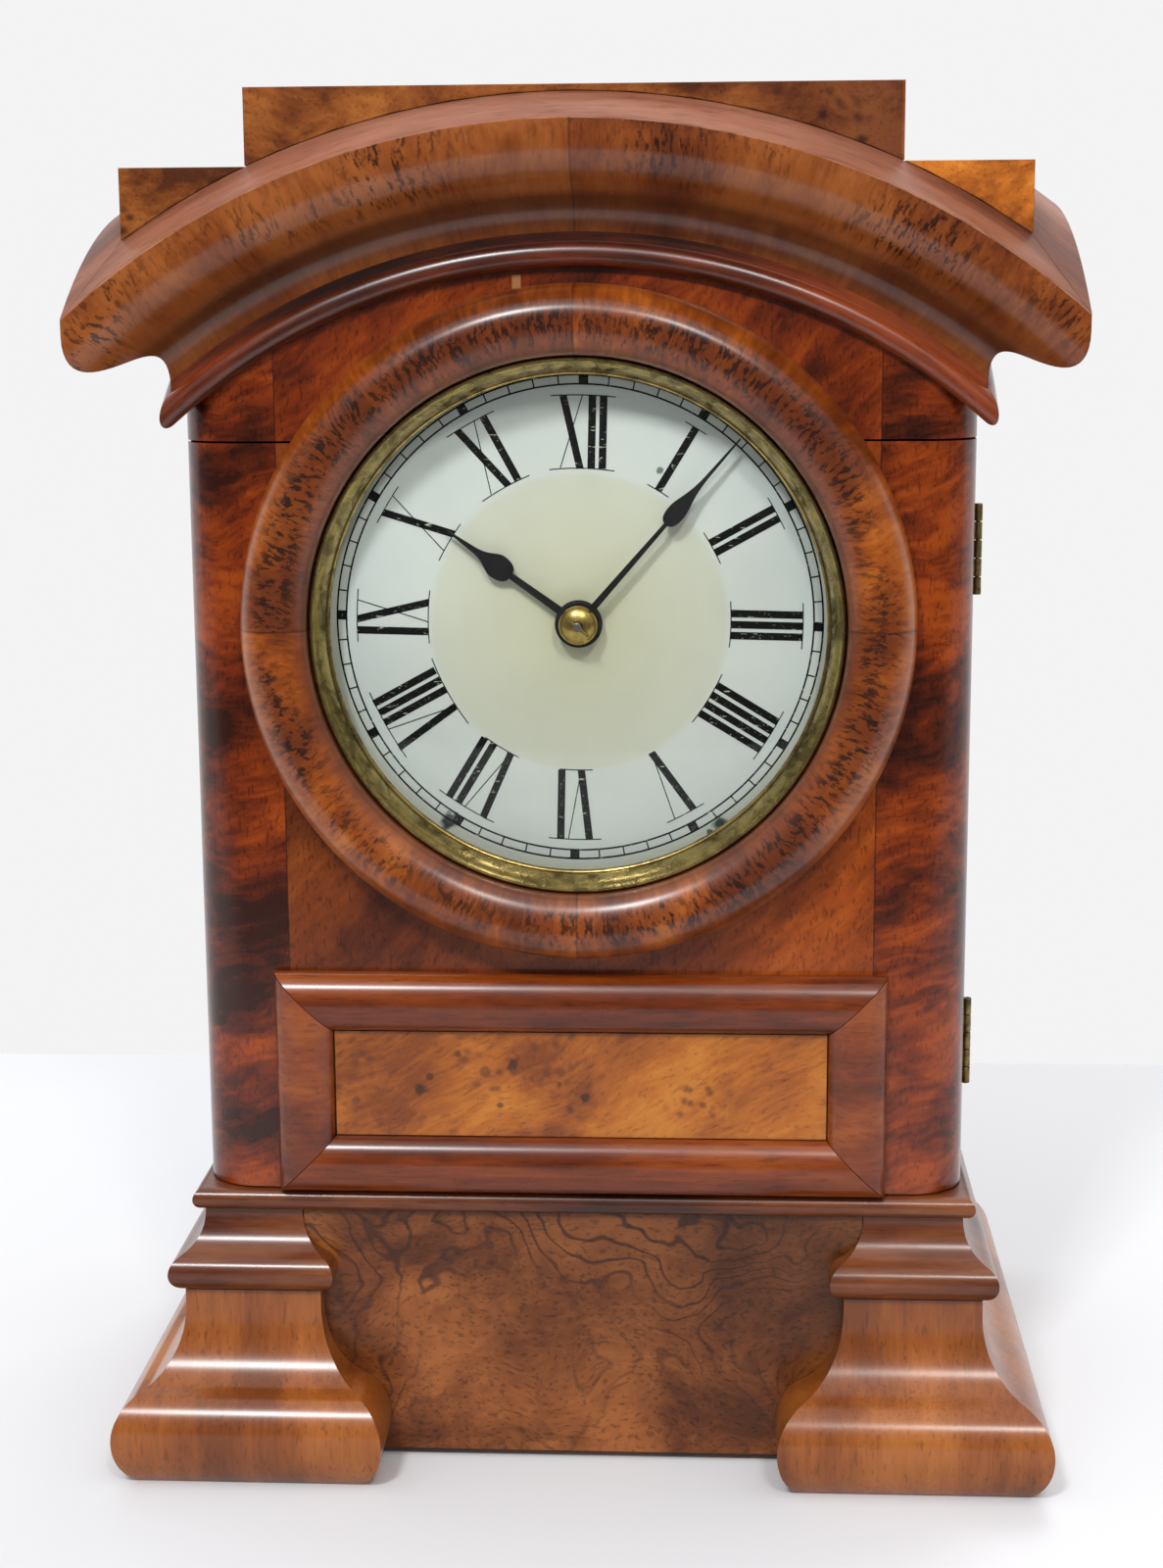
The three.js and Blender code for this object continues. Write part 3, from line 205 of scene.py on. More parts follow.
def loft(name, rings, materials, ring_slots=None, sharp=SHARP, caps=True):
    """A skin over rings of points; ring_slots gives the material slot of each of its strips."""
    count = len(rings[0])
    faces = []
    slots = []
    for i in range(len(rings) - 1):
        for j in range(count):
            k = (j + 1) % count
            a, b = i * count + j, i * count + k
            faces.append((a, b, b + count, a + count))
            slots.append(ring_slots[j] if ring_slots else 0)
    if caps:
        last = (len(rings) - 1) * count
        faces.append(tuple(range(count)))
        faces.append(tuple(range(last, last + count)))
        slots += [0, 0]
    return new_object(name, sum(rings, []), faces, materials, slots, sharp)


def lathe(name, profile, materials, centre, segments, axis="Y"):
    """A closed profile of (radius, height) turned round an axis through the centre."""
    rings = []
    for i in range(segments):
        c, s = turn_of(360 * i / segments)
        turned = [(r * c, h, r * s) if axis == "Y" else (r * c, r * s, h) for r, h in profile]
        rings.append([tuple(a + b for a, b in zip(centre, point)) for point in turned])
    rings.append(rings[0])
    return loft(name, rings, materials, caps=False)


def washer(inner, outer, low, high):
    """The profile of a flat ring."""
    return [(inner, low), (outer, low), (outer, high), (inner, high)]


def block(name, x, y, z, materials=()):
    """A box between pairs of clock millimetres."""
    corners = [(a, b, c) for c in z for b in y for a in x]
    faces = [(0, 1, 3, 2), (4, 6, 7, 5), (0, 4, 5, 1), (2, 3, 7, 6), (0, 2, 6, 4), (1, 5, 7, 3)]
    return new_object(name, corners, faces, materials)


def prism(name, outline, z, materials):
    """An outline in X and Y standing between two heights."""
    return loft(name, [[(x, y, height) for x, y in outline] for height in z], materials)


def cylinder(name, radius, y, centre, segments):
    """A solid cylinder along Y about (x, z)."""
    circle = arc(*centre, radius, radius, 0, 360, segments)[:-1]
    return loft(name, [[(x, depth, z) for x, z in circle] for depth in y], [])


def carve(piece, cutters, sharp=SHARP):
    """Cut the cutters away and delete them."""
    for cutter in cutters:
        modifier = piece.modifiers.new("cut", "BOOLEAN")
        modifier.operation = "DIFFERENCE"
        modifier.solver = "EXACT"
        modifier.object = cutter
    bpy.context.view_layer.update()
    evaluated = piece.evaluated_get(bpy.context.evaluated_depsgraph_get())
    result = bpy.data.meshes.new_from_object(evaluated)
    name = piece.name
    materials = list(piece.data.materials)
    for used in [piece] + cutters:
        bpy.data.objects.remove(used)
    return finish_mesh(name, result, materials, sharp)


def join(name, pieces, sharp=SHARP):
    """One object from several closed meshes."""
    work = bmesh.new()
    materials = list(pieces[0].data.materials)
    for piece in pieces:
        work.from_mesh(piece.data)
        bpy.data.objects.remove(piece)
    mesh = bpy.data.meshes.new(name)
    work.to_mesh(mesh)
    work.free()
    return finish_mesh(name, mesh, materials, sharp)


def mirrored(name, piece):
    """A copy mirrored in X."""
    mesh = piece.data.copy()
    mesh.transform(Matrix.Scale(-1, 4, (1, 0, 0)))
    mesh.flip_normals()
    return finish_mesh(name, mesh, list(mesh.materials), SHARP)


# -------- material helpers
def linear(r, g, b):
    """A linear colour from 0-255 display values."""
    def channel(v):
        v /= 255
        return v / 12.92 if v <= 0.04045 else ((v + 0.055) / 1.055) ** 2.4
    return (channel(r), channel(g), channel(b), 1)


class Tree:
    """Small builder for a node tree."""

    def __init__(self, tree):
        self.tree = tree

    def node(self, kind, inputs=None, **properties):
        made = self.tree.nodes.new("ShaderNode" + kind)
        for key, value in properties.items():
            setattr(made, key, value)
        for key, value in (inputs or {}).items():
            self.put(made.inputs[key], value)
        return made

    def put(self, socket, value):
        if isinstance(value, bpy.types.NodeSocket):
            self.tree.links.new(value, socket)
        else:
            socket.default_value = value

    def ramp(self, factor, *stops):
        """Colours at places along 0-1; a colour is a linear one or one grey value."""
        made = self.node("ValToRGB", {0: factor})
        while len(made.color_ramp.elements) < len(stops):
            made.color_ramp.elements.new(0.5)
        for element, (position, color) in zip(made.color_ramp.elements, stops):
            element.position = position
            element.color = color if isinstance(color, tuple) else (color, color, color, 1)
        return made.outputs[0]

    def mix(self, factor, a, b, blend="MIX"):
        made = self.node("Mix", {0: factor, 6: a, 7: b}, data_type="RGBA", blend_type=blend)
        return made.outputs[2]

    def split(self, vector):
        return self.node("SeparateXYZ", {0: vector}).outputs

    def combine(self, x, y, z):
        return self.node("CombineXYZ", {0: x, 1: y, 2: z}).outputs[0]

    def math(self, operation, *values):
        return self.node("Math", dict(enumerate(values)), operation=operation).outputs[0]

    def plus(self, a, b):
        return self.math("ADD", a, b)

    def minus(self, a, b):
        return self.math("SUBTRACT", a, b)

    def over(self, a, b):
        return self.math("DIVIDE", a, b)

    def times(self, product, *factors):
        for factor in factors:
            product = self.math("MULTIPLY", product, factor)
        return product

    def size(self, value):
        return self.math("ABSOLUTE", value)

    def hypot(self, a, b):
        return self.math("SQRT", self.plus(self.times(a, a), self.times(b, b)))


class Shader(Tree):
    """A material with a Principled surface, its colour so far and the steps of its recipes."""

    def __init__(self, name):
        self.material = bpy.data.materials.new(name)
        self.material.use_nodes = True
        super().__init__(self.material.node_tree)
        self.tree.nodes.clear()
        self.output = self.node("OutputMaterial")
        self.bsdf = self.node("BsdfPrincipled")
        self.show(self.bsdf)
        self.here = self.node("TexCoord").outputs["Object"]

    def show(self, shader_node):
        self.put(self.output.inputs["Surface"], shader_node.outputs[0])

    def surface(self, **values):
        for key, value in values.items():
            self.put(self.bsdf.inputs[key.replace("_", " ")], value)
        return self.material

    def place(self, vector, scale=(1, 1, 1), location=(0, 0, 0), rotation=(0, 0, 0)):
        return self.node("Mapping", {
            "Vector": vector, "Scale": scale, "Location": location, "Rotation": rotation,
        }).outputs[0]

    def polar(self, centre_z):
        """Angle in radians and radius in metres round a Y axis at a height in mm."""
        x, _, z = self.split(self.here)
        z = self.minus(z, centre_z * MM)
        return self.math("ARCTAN2", x, z), self.hypot(x, z)

    def millimetres(self):
        """Clock X, Y and Z of the shading point in mm."""
        x, y, z = self.split(self.here)
        return self.over(x, MM), self.over(self.minus(y, DOOR_FRONT), MM), self.over(z, MM)

    def noise(self, vector, scale, detail=4, rough=0.5, warp=0, stretch=None):
        return self.node("TexNoise", {
            "Vector": self.place(vector, stretch) if stretch else vector, "Scale": scale,
            "Detail": detail, "Roughness": rough, "Distortion": warp,
        }).outputs["Fac"]

    def bend(self, vector, amount, scale):
        """The vector moved about by a soft noise."""
        made = self.node("TexNoise", {"Vector": vector, "Scale": scale, "Detail": 2})
        shift = self.node("VectorMath", {0: made.outputs["Color"], 1: (0.5, 0.5, 0.5)},
                          operation="SUBTRACT").outputs[0]
        shift = self.node("VectorMath", {0: shift, "Scale": amount}, operation="SCALE").outputs[0]
        return self.node("VectorMath", {0: vector, 1: shift}, operation="ADD").outputs[0]

    def tones(self, factor, stops):
        """A ramp of display colours."""
        return self.ramp(factor, *[(place, linear(*tone)) for place, tone in stops])

    def figured(self, vector, tones, scale, stretch, detail, fibre, fibre_scale, depth):
        """Four tones over a clouded figure that fine fibres break up."""
        clouds = self.noise(vector, scale, detail, 0.6, stretch=stretch)
        lines = self.noise(vector, fibre_scale, 4, 0.6, stretch=fibre)
        shift = self.times(self.minus(lines, 0.5), depth)
        return self.tones(self.plus(clouds, shift), zip(TONE_PLACES, tones))

    def stain(self, tone, *shares):
        """Turn the colour to a display tone by the product of the shares."""
        self.color = self.mix(self.times(*shares), self.color, linear(*tone))

    def shade(self, by, amount=1):
        self.color = self.mix(amount, self.color, by, "MULTIPLY")

    def pores(self, amount, vector, stretch, scale, rough, start, end):
        """Darken the colour in fine pores; the mask returned is 0 inside them."""
        mask = self.noise(vector, scale, 3, rough, stretch=stretch)
        mask = self.ramp(mask, (start, 0), (end, 1))
        self.shade(mask, amount)
        return mask

    def eyes(self, tone, vector, scale, size, base, spread, amount):
        """Round dark eyes of a burr; size and spread are where they and their patches fade."""
        cells = self.node("TexVoronoi", {"Vector": vector, "Scale": scale}).outputs["Distance"]
        cells = self.ramp(cells, (size[0], 1), (size[1], 0))
        patch_scale, detail, start, end = spread
        patches = self.ramp(self.noise(base, patch_scale, detail), (start, 0), (end, amount))
        self.stain(tone, cells, patches)

    def blots(self, places, scale):
        """Ragged marks at (x, z, radius, strength) in clock mm."""
        x, _, z = self.millimetres()
        rag = self.times(self.noise(self.here, scale, 3, 0.7), 2.2)
        total = 0
        for mark_x, mark_z, radius, strength in places:
            away = self.hypot(self.minus(x, mark_x), self.minus(z, mark_z))
            ratio = self.times(self.over(away, radius), rag)
            total = self.math("MAXIMUM", total, self.ramp(ratio, (0.55, strength), (1, 0)))
        return total

    def near(self, value, place, half):
        """1 where the value lies within half of the place, else 0."""
        return self.math("LESS_THAN", self.size(self.minus(value, place)), half)

    def bump(self, height, strength, distance, normal=None):
        inputs = {"Height": height, "Strength": strength, "Distance": distance}
        if normal is not None:
            inputs["Normal"] = normal
        return self.node("Bump", inputs).outputs[0]

    def eased(self, radius):
        """Normals that round off hard edges a little."""
        return self.node("Bevel", {"Radius": radius * MM}, samples=4).outputs[0]

    def polished(self, pits, gloss, coat, edges=False, coat_rough=0.22):
        """French polish over the colour, sunk a little in the pits."""
        haze = self.noise(self.here, 22, 3)
        rough = self.ramp(haze, (0.3, gloss * 0.85), (0.7, gloss * 1.3))
        start = self.eased(0.5) if edges else None
        return self.surface(
            Base_Color=self.color, Roughness=rough, Specular_IOR_Level=0.12,
            Normal=self.bump(pits, 0.1, 0.0002, start), Coat_Weight=coat,
            Coat_Roughness=coat_rough,
        )


def veneer(name, tones, figure, stretch, seed, detail=8, swirl=0, fibre=(1, 1, 1),
           depth=0.3, fleck=0.3, fleck_stretch=(1, 1, 1), spots=0, gloss=0.26, coat=0.7,
           edges=False, tints=()):
    """Polished veneer from four tones, dark to light, spread over a clouded figure.

    swirl bends the figure, in metres; fibre and fleck_stretch draw out the fine marks; spots
    is the strength of a burr's eyes; tints are (clock X, colour factors) from left to right.
    """
    mat = Shader(name)
    base = mat.place(mat.here, location=(seed, seed * 0.7, -seed))
    bent = mat.bend(base, swirl, figure * 0.6) if swirl else base
    mat.color = mat.figured(bent, tones, figure, stretch, detail, fibre, 260, depth)
    pits = mat.pores(fleck, bent, fleck_stretch, 1050, 0.6, 0.36, 0.43)
    if spots:
        mat.eyes((30, 14, 8), bent, 210, (0.12, 0.42), base, (22, 3, 0.52, 0.62), spots)
    if tints:
        along = mat.plus(mat.over(mat.millimetres()[0], TINT_WIDTH), 0.5)
        stops = [(x / TINT_WIDTH + 0.5, (*tint, 1)) for x, tint in tints]
        mat.shade(mat.ramp(along, *stops))
    return mat.polished(pits, gloss, coat, edges)


def metal(name, color, tarnish, rough, scale=60):
    """Brass or steel with tarnish clouds and fine scratches."""
    mat = Shader(name)
    base = mat.here
    clouds = mat.noise(base, scale, 5, 0.6, 0.6)
    tone = mat.tones(clouds, ((0.35, tarnish), (0.6, color)))
    roughness = mat.ramp(clouds, (0.3, rough * 1.5), (0.7, rough * 0.8))
    scratches = mat.noise(base, 500, 2, stretch=(1, 1, 9))
    return mat.surface(
        Base_Color=tone, Roughness=roughness, Metallic=1,
        Normal=mat.bump(scratches, 0.05, 0.0001, mat.eased(0.15)),
    )


# -------- woods and metals
TONE_PLACES = (0.36, 0.46, 0.54, 0.65)
STILE = ((46, 13, 2), (83, 28, 5), (114, 42, 8), (147, 63, 13))
FIELD = ((80, 30, 5), (109, 46, 10), (128, 57, 13), (149, 73, 21))
FEET = ((108, 54, 17), (131, 69, 23), (146, 81, 30), (164, 96, 40))
CAP = ((56, 23, 9), (82, 37, 15), (101, 50, 21), (124, 69, 33))
PLAIN = ((71, 25, 4), (98, 39, 8), (119, 51, 12), (141, 69, 20))
BURR = ((80, 38, 13), (118, 62, 22), (142, 80, 31), (168, 102, 44))
SIDE = ((66, 26, 7), (86, 35, 10), (104, 45, 15), (126, 60, 24))
APRON = ((85, 42, 16), (111, 59, 24), (129, 72, 32), (152, 89, 43))
GOLD = ((119, 57, 11), (149, 79, 17), (168, 94, 23), (184, 113, 34))
DEAL = ((124, 88, 52), (160, 120, 76), (182, 142, 96), (200, 162, 114))
HOOD = ((72, 30, 9), (103, 47, 16), (126, 63, 23), (150, 83, 36))
BEAD = ((46, 16, 6), (84, 32, 12), (116, 46, 18), (142, 64, 28))
# The bevel's plain wood, its tones lightened by a painted sheen from above.
BEVEL_AND_SHEEN = ((92, 48, 32), (116, 66, 46), (132, 80, 58), (150, 96, 72))
RING = ((88, 36, 4), (124, 57, 8), (148, 72, 13), (176, 96, 30))

TINT_WIDTH = 2 * CASE_HALF + 40
CREST_TINTS = ((-91, (1, 1, 1)), (-88, (1.05, 1.03, 1)), (30, (0.95, 0.9, 0.95)),
               (72, (0.55, 0.48, 0.62)), (88, (0.44, 0.36, 0.56)), (91, (1.95, 1.9, 1.2)))
# Where the stiles' veneer meets the field's, and half of the seam's width.
JOINT_X = 84.8
SEAM_HALF = 0.22
HOOD_SEAM_HALF = 0.3
PEG_X, PEG_HALF_WIDTH = -16.3, 1.2
PEG_Z, PEG_HALF_HEIGHT = 348.2, 2
# Metres of veneer to a radian of turn, and how far apart in the wood the next leaf lies.
HOOD_TURN, HOOD_LEAF = 0.2, 0.83
RING_TURN, RING_LEAF = 0.086, 0.7
KNOTS = ((-47, 116.4, 2.4, 0.85), (-27.5, 122, 2.6, 0.55), (-19.5, 124.6, 1.8, 0.8),
         (-23.5, 112, 1.4, 0.7), (1.5, 114.6, 2.2, 0.85), (-66, 113, 1.6, 0.5),
         (-35.6, 127.4, 1.6, 0.7), (-6, 118.6, 1.3, 0.6), (-44, 120.5, 1.5, 0.7),
         (-3, 111, 1.6, 0.5))
CHIPS = ((-38.4, 194.4, 3.2, 1), (-36.1, 196.1, 1.6, 0.9), (40.5, 194.2, 2.6, 1),
         (37.7, 191.3, 1.2, 0.9), (23, 295.8, 1.3, 0.8))


def panel_veneer():
    """Golden burr with slanting fibre, clustered eyes and a few small knots."""
    mat = Shader("panel_veneer")
    base = mat.place(mat.here, location=(3.4, 2.4, -3.4), rotation=(0, 0.5, 0))
    bent = mat.bend(base, 0.02, 24)
    mat.color = mat.figured(bent, GOLD, 30, (0.8, 1, 1.3), 8, (0.3, 1, 1.9), 300, 0.3)
    pits = mat.pores(0.3, bent, (0.4, 1, 1), 1000, 0.6, 0.36, 0.43)
    mat.eyes((84, 40, 12), bent, 260, (0.15, 0.45), base, (34, 3, 0.54, 0.62), 0.7)
    mat.stain((50, 22, 8), mat.blots(KNOTS, 240))
    return mat.polished(pits, 0.28, 0.6, True)


def front_veneer(name, seed, frieze=False):
    """Two dark stiles; the door's field is paler, and the frieze shows a small peg."""
    mat = Shader(name)
    x, _, z = mat.millimetres()
    base = mat.place(mat.here, location=(seed, seed * 0.7, -seed))
    tilted = mat.bend(mat.place(base, rotation=(0, 0.25, 0)), 0.014, 34)
    stile = mat.figured(tilted, STILE, 32, (0.6, 1, 1.15), 8, (0.3, 1, 1.7), 200, 0.42)
    tilted = mat.bend(mat.place(base, rotation=(0, 0.7, 0)), 0.014, 26)
    field = mat.figured(tilted, STILE if frieze else FIELD, 28, (0.6, 1, 1.25), 8,
                        (0.4, 1, 1.9), 240, 0.26)
    if not frieze:
        across = mat.plus(mat.over(x, 2 * JOINT_X), 0.5)
        sides = mat.ramp(across, (0, (0.72, 0.76, 0.9, 1)), (0.45, 1), (1, (1.3, 1.25, 0.95, 1)))
        field = mat.mix(1, field, sides, "MULTIPLY")
    outer = mat.math("GREATER_THAN", mat.size(x), JOINT_X)
    mat.color = mat.mix(outer, field, stile)
    pits = mat.pores(0.4, base, (1, 1, 0.35), 1050, 0.6, 0.37, 0.44)
    seam = mat.near(mat.size(x), JOINT_X, SEAM_HALF)
    mat.stain((30, 13, 7), seam, 0.6)
    if frieze:
        peg_x = mat.near(x, PEG_X, PEG_HALF_WIDTH)
        peg_z = mat.near(z, PEG_Z, PEG_HALF_HEIGHT)
        mat.stain((176, 120, 78), peg_x, peg_z, 0.8)
    return mat.polished(pits, 0.24, 0.6)


def hood_veneer(name, front):
    """Cross-laid hood veneer: flecked at its edge, with a painted grey-brown sheen in the hollow
    and a painted highlight on the front's arris.
    """
    mat = Shader(name)
    x, y, _ = mat.millimetres()
    if front:
        out = mat.times(y, -1)
        angle, across = mat.polar(ARCH_Z)
        along = mat.times(angle, HOOD_TURN)
    else:
        out = mat.minus(mat.size(x), CASE_HALF)
        _, along, across = mat.split(mat.here)
    band = mat.over(out, HOOD_NOSE)
    leaf = mat.times(mat.math("GREATER_THAN", x, 0), HOOD_LEAF)
    base = mat.combine(mat.plus(along, leaf), across, 0.37)
    bent = mat.bend(base, 0.01, 34)
    mat.color = mat.figured(bent, HOOD, 22, (1, 0.8, 1), 8, (2.2, 0.5, 1), 240, 0.24)
    # Painted sheen: a grey-brown band across the hollow stands in for light reflected from above.
    hollow_sheen = mat.ramp(band, (0.05, 0), (0.12, 0.75), (0.3, 0.8), (0.5, 0))
    streak = mat.ramp(mat.noise(base, 40, 3, stretch=(0.3, 1, 1)), (0.35, 0.55), (0.65, 1))
    mat.stain((66, 36, 22), hollow_sheen, streak)
    marks = mat.noise(bent, 760, 5, 0.66, stretch=(1, 0.34, 1))
    flecks = mat.ramp(marks, (0.52, 0), (0.58, 1))
    edge = mat.ramp(band, (0.45, 0.12), (0.8, 1))
    patches = mat.ramp(mat.noise(base, 24, 3), (0.44, 0.15), (0.6, 1))
    mat.stain((32, 12, 5), flecks, edge, patches, 0.9)
    if front:
        # Painted highlight: a pale line along the front's arris, broken up by noise.
        arris_glint = mat.near(mat.over(across, MM), BEAD_RADIUS + ARRIS - 0.15, 0.16)
        glint_breaks = mat.ramp(mat.noise(base, 130, 3), (0.4, 0.25), (0.6, 0.6))
        mat.stain((186, 142, 112), arris_glint, glint_breaks)
        mat.stain((40, 18, 10), mat.near(x, 0, HOOD_SEAM_HALF), 0.5)
    return mat.polished(marks, 0.27, 0.7)


def turned_strip(name, tones, depth, gloss, coat):
    """Plain wood bent along the hood, its grain running with the moulding."""
    mat = Shader(name)
    angle, radius = mat.polar(ARCH_Z)
    depth_along = mat.times(mat.millimetres()[1], MM)
    base = mat.combine(mat.times(angle, HOOD_TURN), radius, depth_along)
    mat.color = mat.figured(base, tones, 40, (0.25, 1.6, 1.2), 6, (0.1, 3, 2), 300, depth)
    pits = mat.pores(0.25, base, (0.15, 1, 1), 1050, 0.5, 0.36, 0.44)
    return mat.polished(pits, gloss, coat, coat_rough=0.28)


def apron_veneer():
    """Swirled burr with fine dark contour lines, darker towards the top right."""
    mat = Shader("apron_veneer")
    base = mat.place(mat.here, location=(2.2, 1.5, -2.2))
    bent = mat.bend(base, 0.03, 20)
    mat.color = mat.figured(bent, APRON, 26, (1, 1, 1.2), 7, (0.6, 1, 1.8), 260, 0.2)
    contours = mat.math("SINE", mat.times(mat.noise(bent, 12, 4, 0.42), 190))
    lines = mat.ramp(contours, (0.72, 0), (0.97, 1))
    where = mat.ramp(mat.noise(base, 19, 3), (0.42, 0.1), (0.6, 0.8))
    mat.stain((58, 29, 17), lines, where)
    pits = mat.pores(0.4, bent, (0.5, 1, 1), 1000, 0.5, 0.37, 0.44)
    x, _, z = mat.millimetres()
    away = mat.over(mat.plus(mat.times(x, 0.6), z), 130)
    mat.shade(mat.ramp(away, (0.1, 1), (0.75, 0.5)))
    mat.eyes((34, 16, 10), bent, 150, (0.1, 0.25), base, (30, 2, 0.6, 0.68), 0.6)
    return mat.polished(pits, 0.3, 0.35, True)


def ring_material():
    """Veneer in four quarters, its grain and flecks running out from the dial."""
    mat = Shader("ring_veneer")
    angle, radius = mat.polar(DIAL_Z)
    across = mat.over(mat.minus(radius, RING_INNER * MM), (RING_OUTER - RING_INNER) * MM)
    turned = mat.over(angle, pi / 2)
    leaf = mat.times(mat.math("FLOOR", turned), RING_LEAF)
    base = mat.combine(mat.plus(mat.times(angle, RING_TURN), leaf), radius, 0.21)
    bent = mat.bend(base, 0.008, 50)
    mat.color = mat.figured(bent, RING, 40, (1, 0.7, 1), 7, (2.4, 0.5, 1), 260, 0.26)
    middle = mat.ramp(across, (0.05, 0.1), (0.28, 0.9), (0.6, 1), (0.82, 0.25), (1, 0.02))
    patches = mat.ramp(mat.noise(base, 30, 4, 0.6), (0.4, 0), (0.56, 1))
    mat.stain((88, 37, 12), patches, middle, 0.75)
    marks = mat.noise(bent, 700, 5, 0.66, stretch=(1, 0.4, 1))
    flecks = mat.ramp(marks, (0.5, 0), (0.56, 1))
    gathered = mat.ramp(patches, (0, 0.3), (0.8, 0.95))
    mat.stain((34, 12, 4), flecks, middle, gathered)
    mat.stain((78, 46, 34), mat.ramp(across, (0, 1), (0.2, 0)), 0.75)
    seam = mat.size(mat.minus(turned, mat.math("ROUND", turned)))
    mat.shade(mat.ramp(seam, (0, 0.4), (0.004, 1)))
    return mat.polished(marks, 0.32, 0.8, coat_rough=0.26)


def dial_material():
    """Cream centre, cooler chapter ring, yellowed edge, faint stains and a few chips."""
    mat = Shader("dial_paint")
    share = mat.over(mat.polar(DIAL_Z)[1], DIAL_RADIUS * MM)
    mat.color = mat.tones(share, (
        (0, (208, 205, 172)), (0.22, (210, 209, 182)), (0.56, (213, 215, 198)),
        (0.585, (218, 223, 216)), (0.9, (218, 225, 222)), (0.97, (206, 209, 194)),
    ))
    stains = mat.noise(mat.here, 26, 4, 0.6, 0.8)
    mat.shade(mat.ramp(stains, (0.35, 0.9), (0.6, 1)), 0.5)
    mat.shade(mat.ramp(share, (0.05, 0.86), (0.16, 1)), 0.5)
    mat.stain((66, 76, 78), mat.blots(CHIPS, 300))
    return mat.surface(Base_Color=mat.color, Roughness=0.42, Specular_IOR_Level=0.35)


def ink_material():
    """Black paint with small scratches and worn specks that show the ground."""
    mat = Shader("dial_ink")
    base = mat.here
    specks = mat.ramp(mat.noise(base, 900, 3, 0.7, 1), (0.64, 0), (0.7, 1))
    slanted = mat.place(base, scale=(1, 1, 6), rotation=(0, 0.6, 0))
    scratches = mat.ramp(mat.noise(slanted, 260, 2), (0.68, 0), (0.72, 1))
    glint_breaks = mat.math("MAXIMUM", specks, scratches)
    color = mat.mix(glint_breaks, linear(14, 14, 13), linear(186, 186, 168))
    return mat.surface(Base_Color=color, Roughness=0.7, Specular_IOR_Level=0.1)


def blued_material():
    mat = Shader("blued_steel")
    clouds = mat.noise(mat.here, 120, 3)
    tone = mat.tones(clouds, ((0.3, (18, 17, 18)), (0.7, (44, 42, 44))))
    return mat.surface(Base_Color=tone, Roughness=0.42, Metallic=0.5, Normal=mat.eased(0.3))


def glass_material():
    mat = Shader("clock_glass")
    clear = mat.node("BsdfTransparent", {"Color": (0.985, 0.995, 0.99, 1)})
    shine = mat.node("BsdfGlossy", {"Roughness": 0.02})
    weight = mat.times(mat.node("Fresnel", {"IOR": 1.45}).outputs[0], 0.4)
    mat.show(mat.node("MixShader", {0: weight, 1: clear.outputs[0], 2: shine.outputs[0]}))
    return mat.material


feet_wood = veneer("feet_veneer", FEET, 24, (1.5, 1, 0.35), 0.9, 6, fibre=(3.4, 1, 0.16),
                   depth=0.16, fleck_stretch=(1, 1, 0.1), gloss=0.34)
cap_wood = veneer("cap_wood", CAP, 30, (0.35, 1, 1.6), 0.5, 6, fibre=(0.2, 1, 3.2),
                  depth=0.2, fleck=0.25, fleck_stretch=(0.12, 1, 1), gloss=0.34)
crest_wood = veneer("crest_veneer", BURR, 30, (1, 1, 1.3), 1.7, swirl=0.03,
                    fibre=(0.7, 1, 1.6), spots=0.75, edges=True, tints=CREST_TINTS)
frame_wood = veneer("frame_wood", PLAIN, 30, (0.3, 1, 1.5), 0.6, 6, fibre=(0.16, 1, 2.6),
                    depth=0.24, fleck_stretch=(0.12, 1, 1))
upright_wood = veneer("upright_frame_wood", PLAIN, 30, (0.5, 1, 1.2), 1.3, 6,
                            fibre=(0.25, 1, 2.2), depth=0.24,
                            fleck_stretch=(0.15, 1, 1))
side_wood = veneer("side_veneer", SIDE, 22, (1, 1.4, 0.3), 0.8, fibre=(1, 2.6, 0.2),
                   fleck_stretch=(1, 1, 0.2), edges=True)
deal = veneer("deal", DEAL, 26, (1.6, 1, 0.25), 0.1, 4, fibre=(3, 1, 0.1), depth=0.2,
              fleck=0.15, gloss=0.6, coat=0)
panel_wood = panel_veneer()
door_wood = front_veneer("door_veneer", 0.31)
frieze_wood = front_veneer("frieze_veneer", 0.77, frieze=True)
hood_wood = hood_veneer("hood_veneer", True)
hood_side_wood = hood_veneer("hood_side_veneer", False)
bead_wood = turned_strip("bead_wood", BEAD, 0.26, 0.26, 1)
# The bevel's tones carry a painted sheen from above.
bevel_wood_and_sheen = turned_strip("bevel_wood_and_sheen", BEVEL_AND_SHEEN, 0.16, 0.44, 0.15)
apron_wood = apron_veneer()
ring_wood = ring_material()
brass = metal("brass", (214, 184, 104), (126, 100, 52), 0.24)
bezel_brass = metal("bezel_brass", (176, 154, 94), (112, 96, 58), 0.22, scale=210)
dull_brass = metal("dull_brass", (150, 132, 84), (84, 72, 44), 0.38, scale=300)
steel = metal("steel", (176, 178, 182), (110, 110, 112), 0.28)
dial_paint = dial_material()
dial_ink = ink_material()
blued = blued_material()
clock_glass = glass_material()


def dress(piece, body, slot, *hidden):
    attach(piece, body)
    if hidden:
        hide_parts(*hidden)


# -------- base
# Profiles are (reach beyond the case, height).
BASE_SHARP = 40
CUT_MARGIN = 1


def foot_profile():
    nose = (11.5, 14.2)
    lower = arc(*nose, 13.6, 17, -56.6, 0, 12)
    upper = arc(*nose, 13.6, 14.2, 0, 66, 12)[1:]
    sweep = bezier((17, 27.2), (11.5, 29.7), (5.5, 37), (5.4, 50), 16)[1:]
    return lower + upper + sweep + [(5.4, FOOT_TOP)]


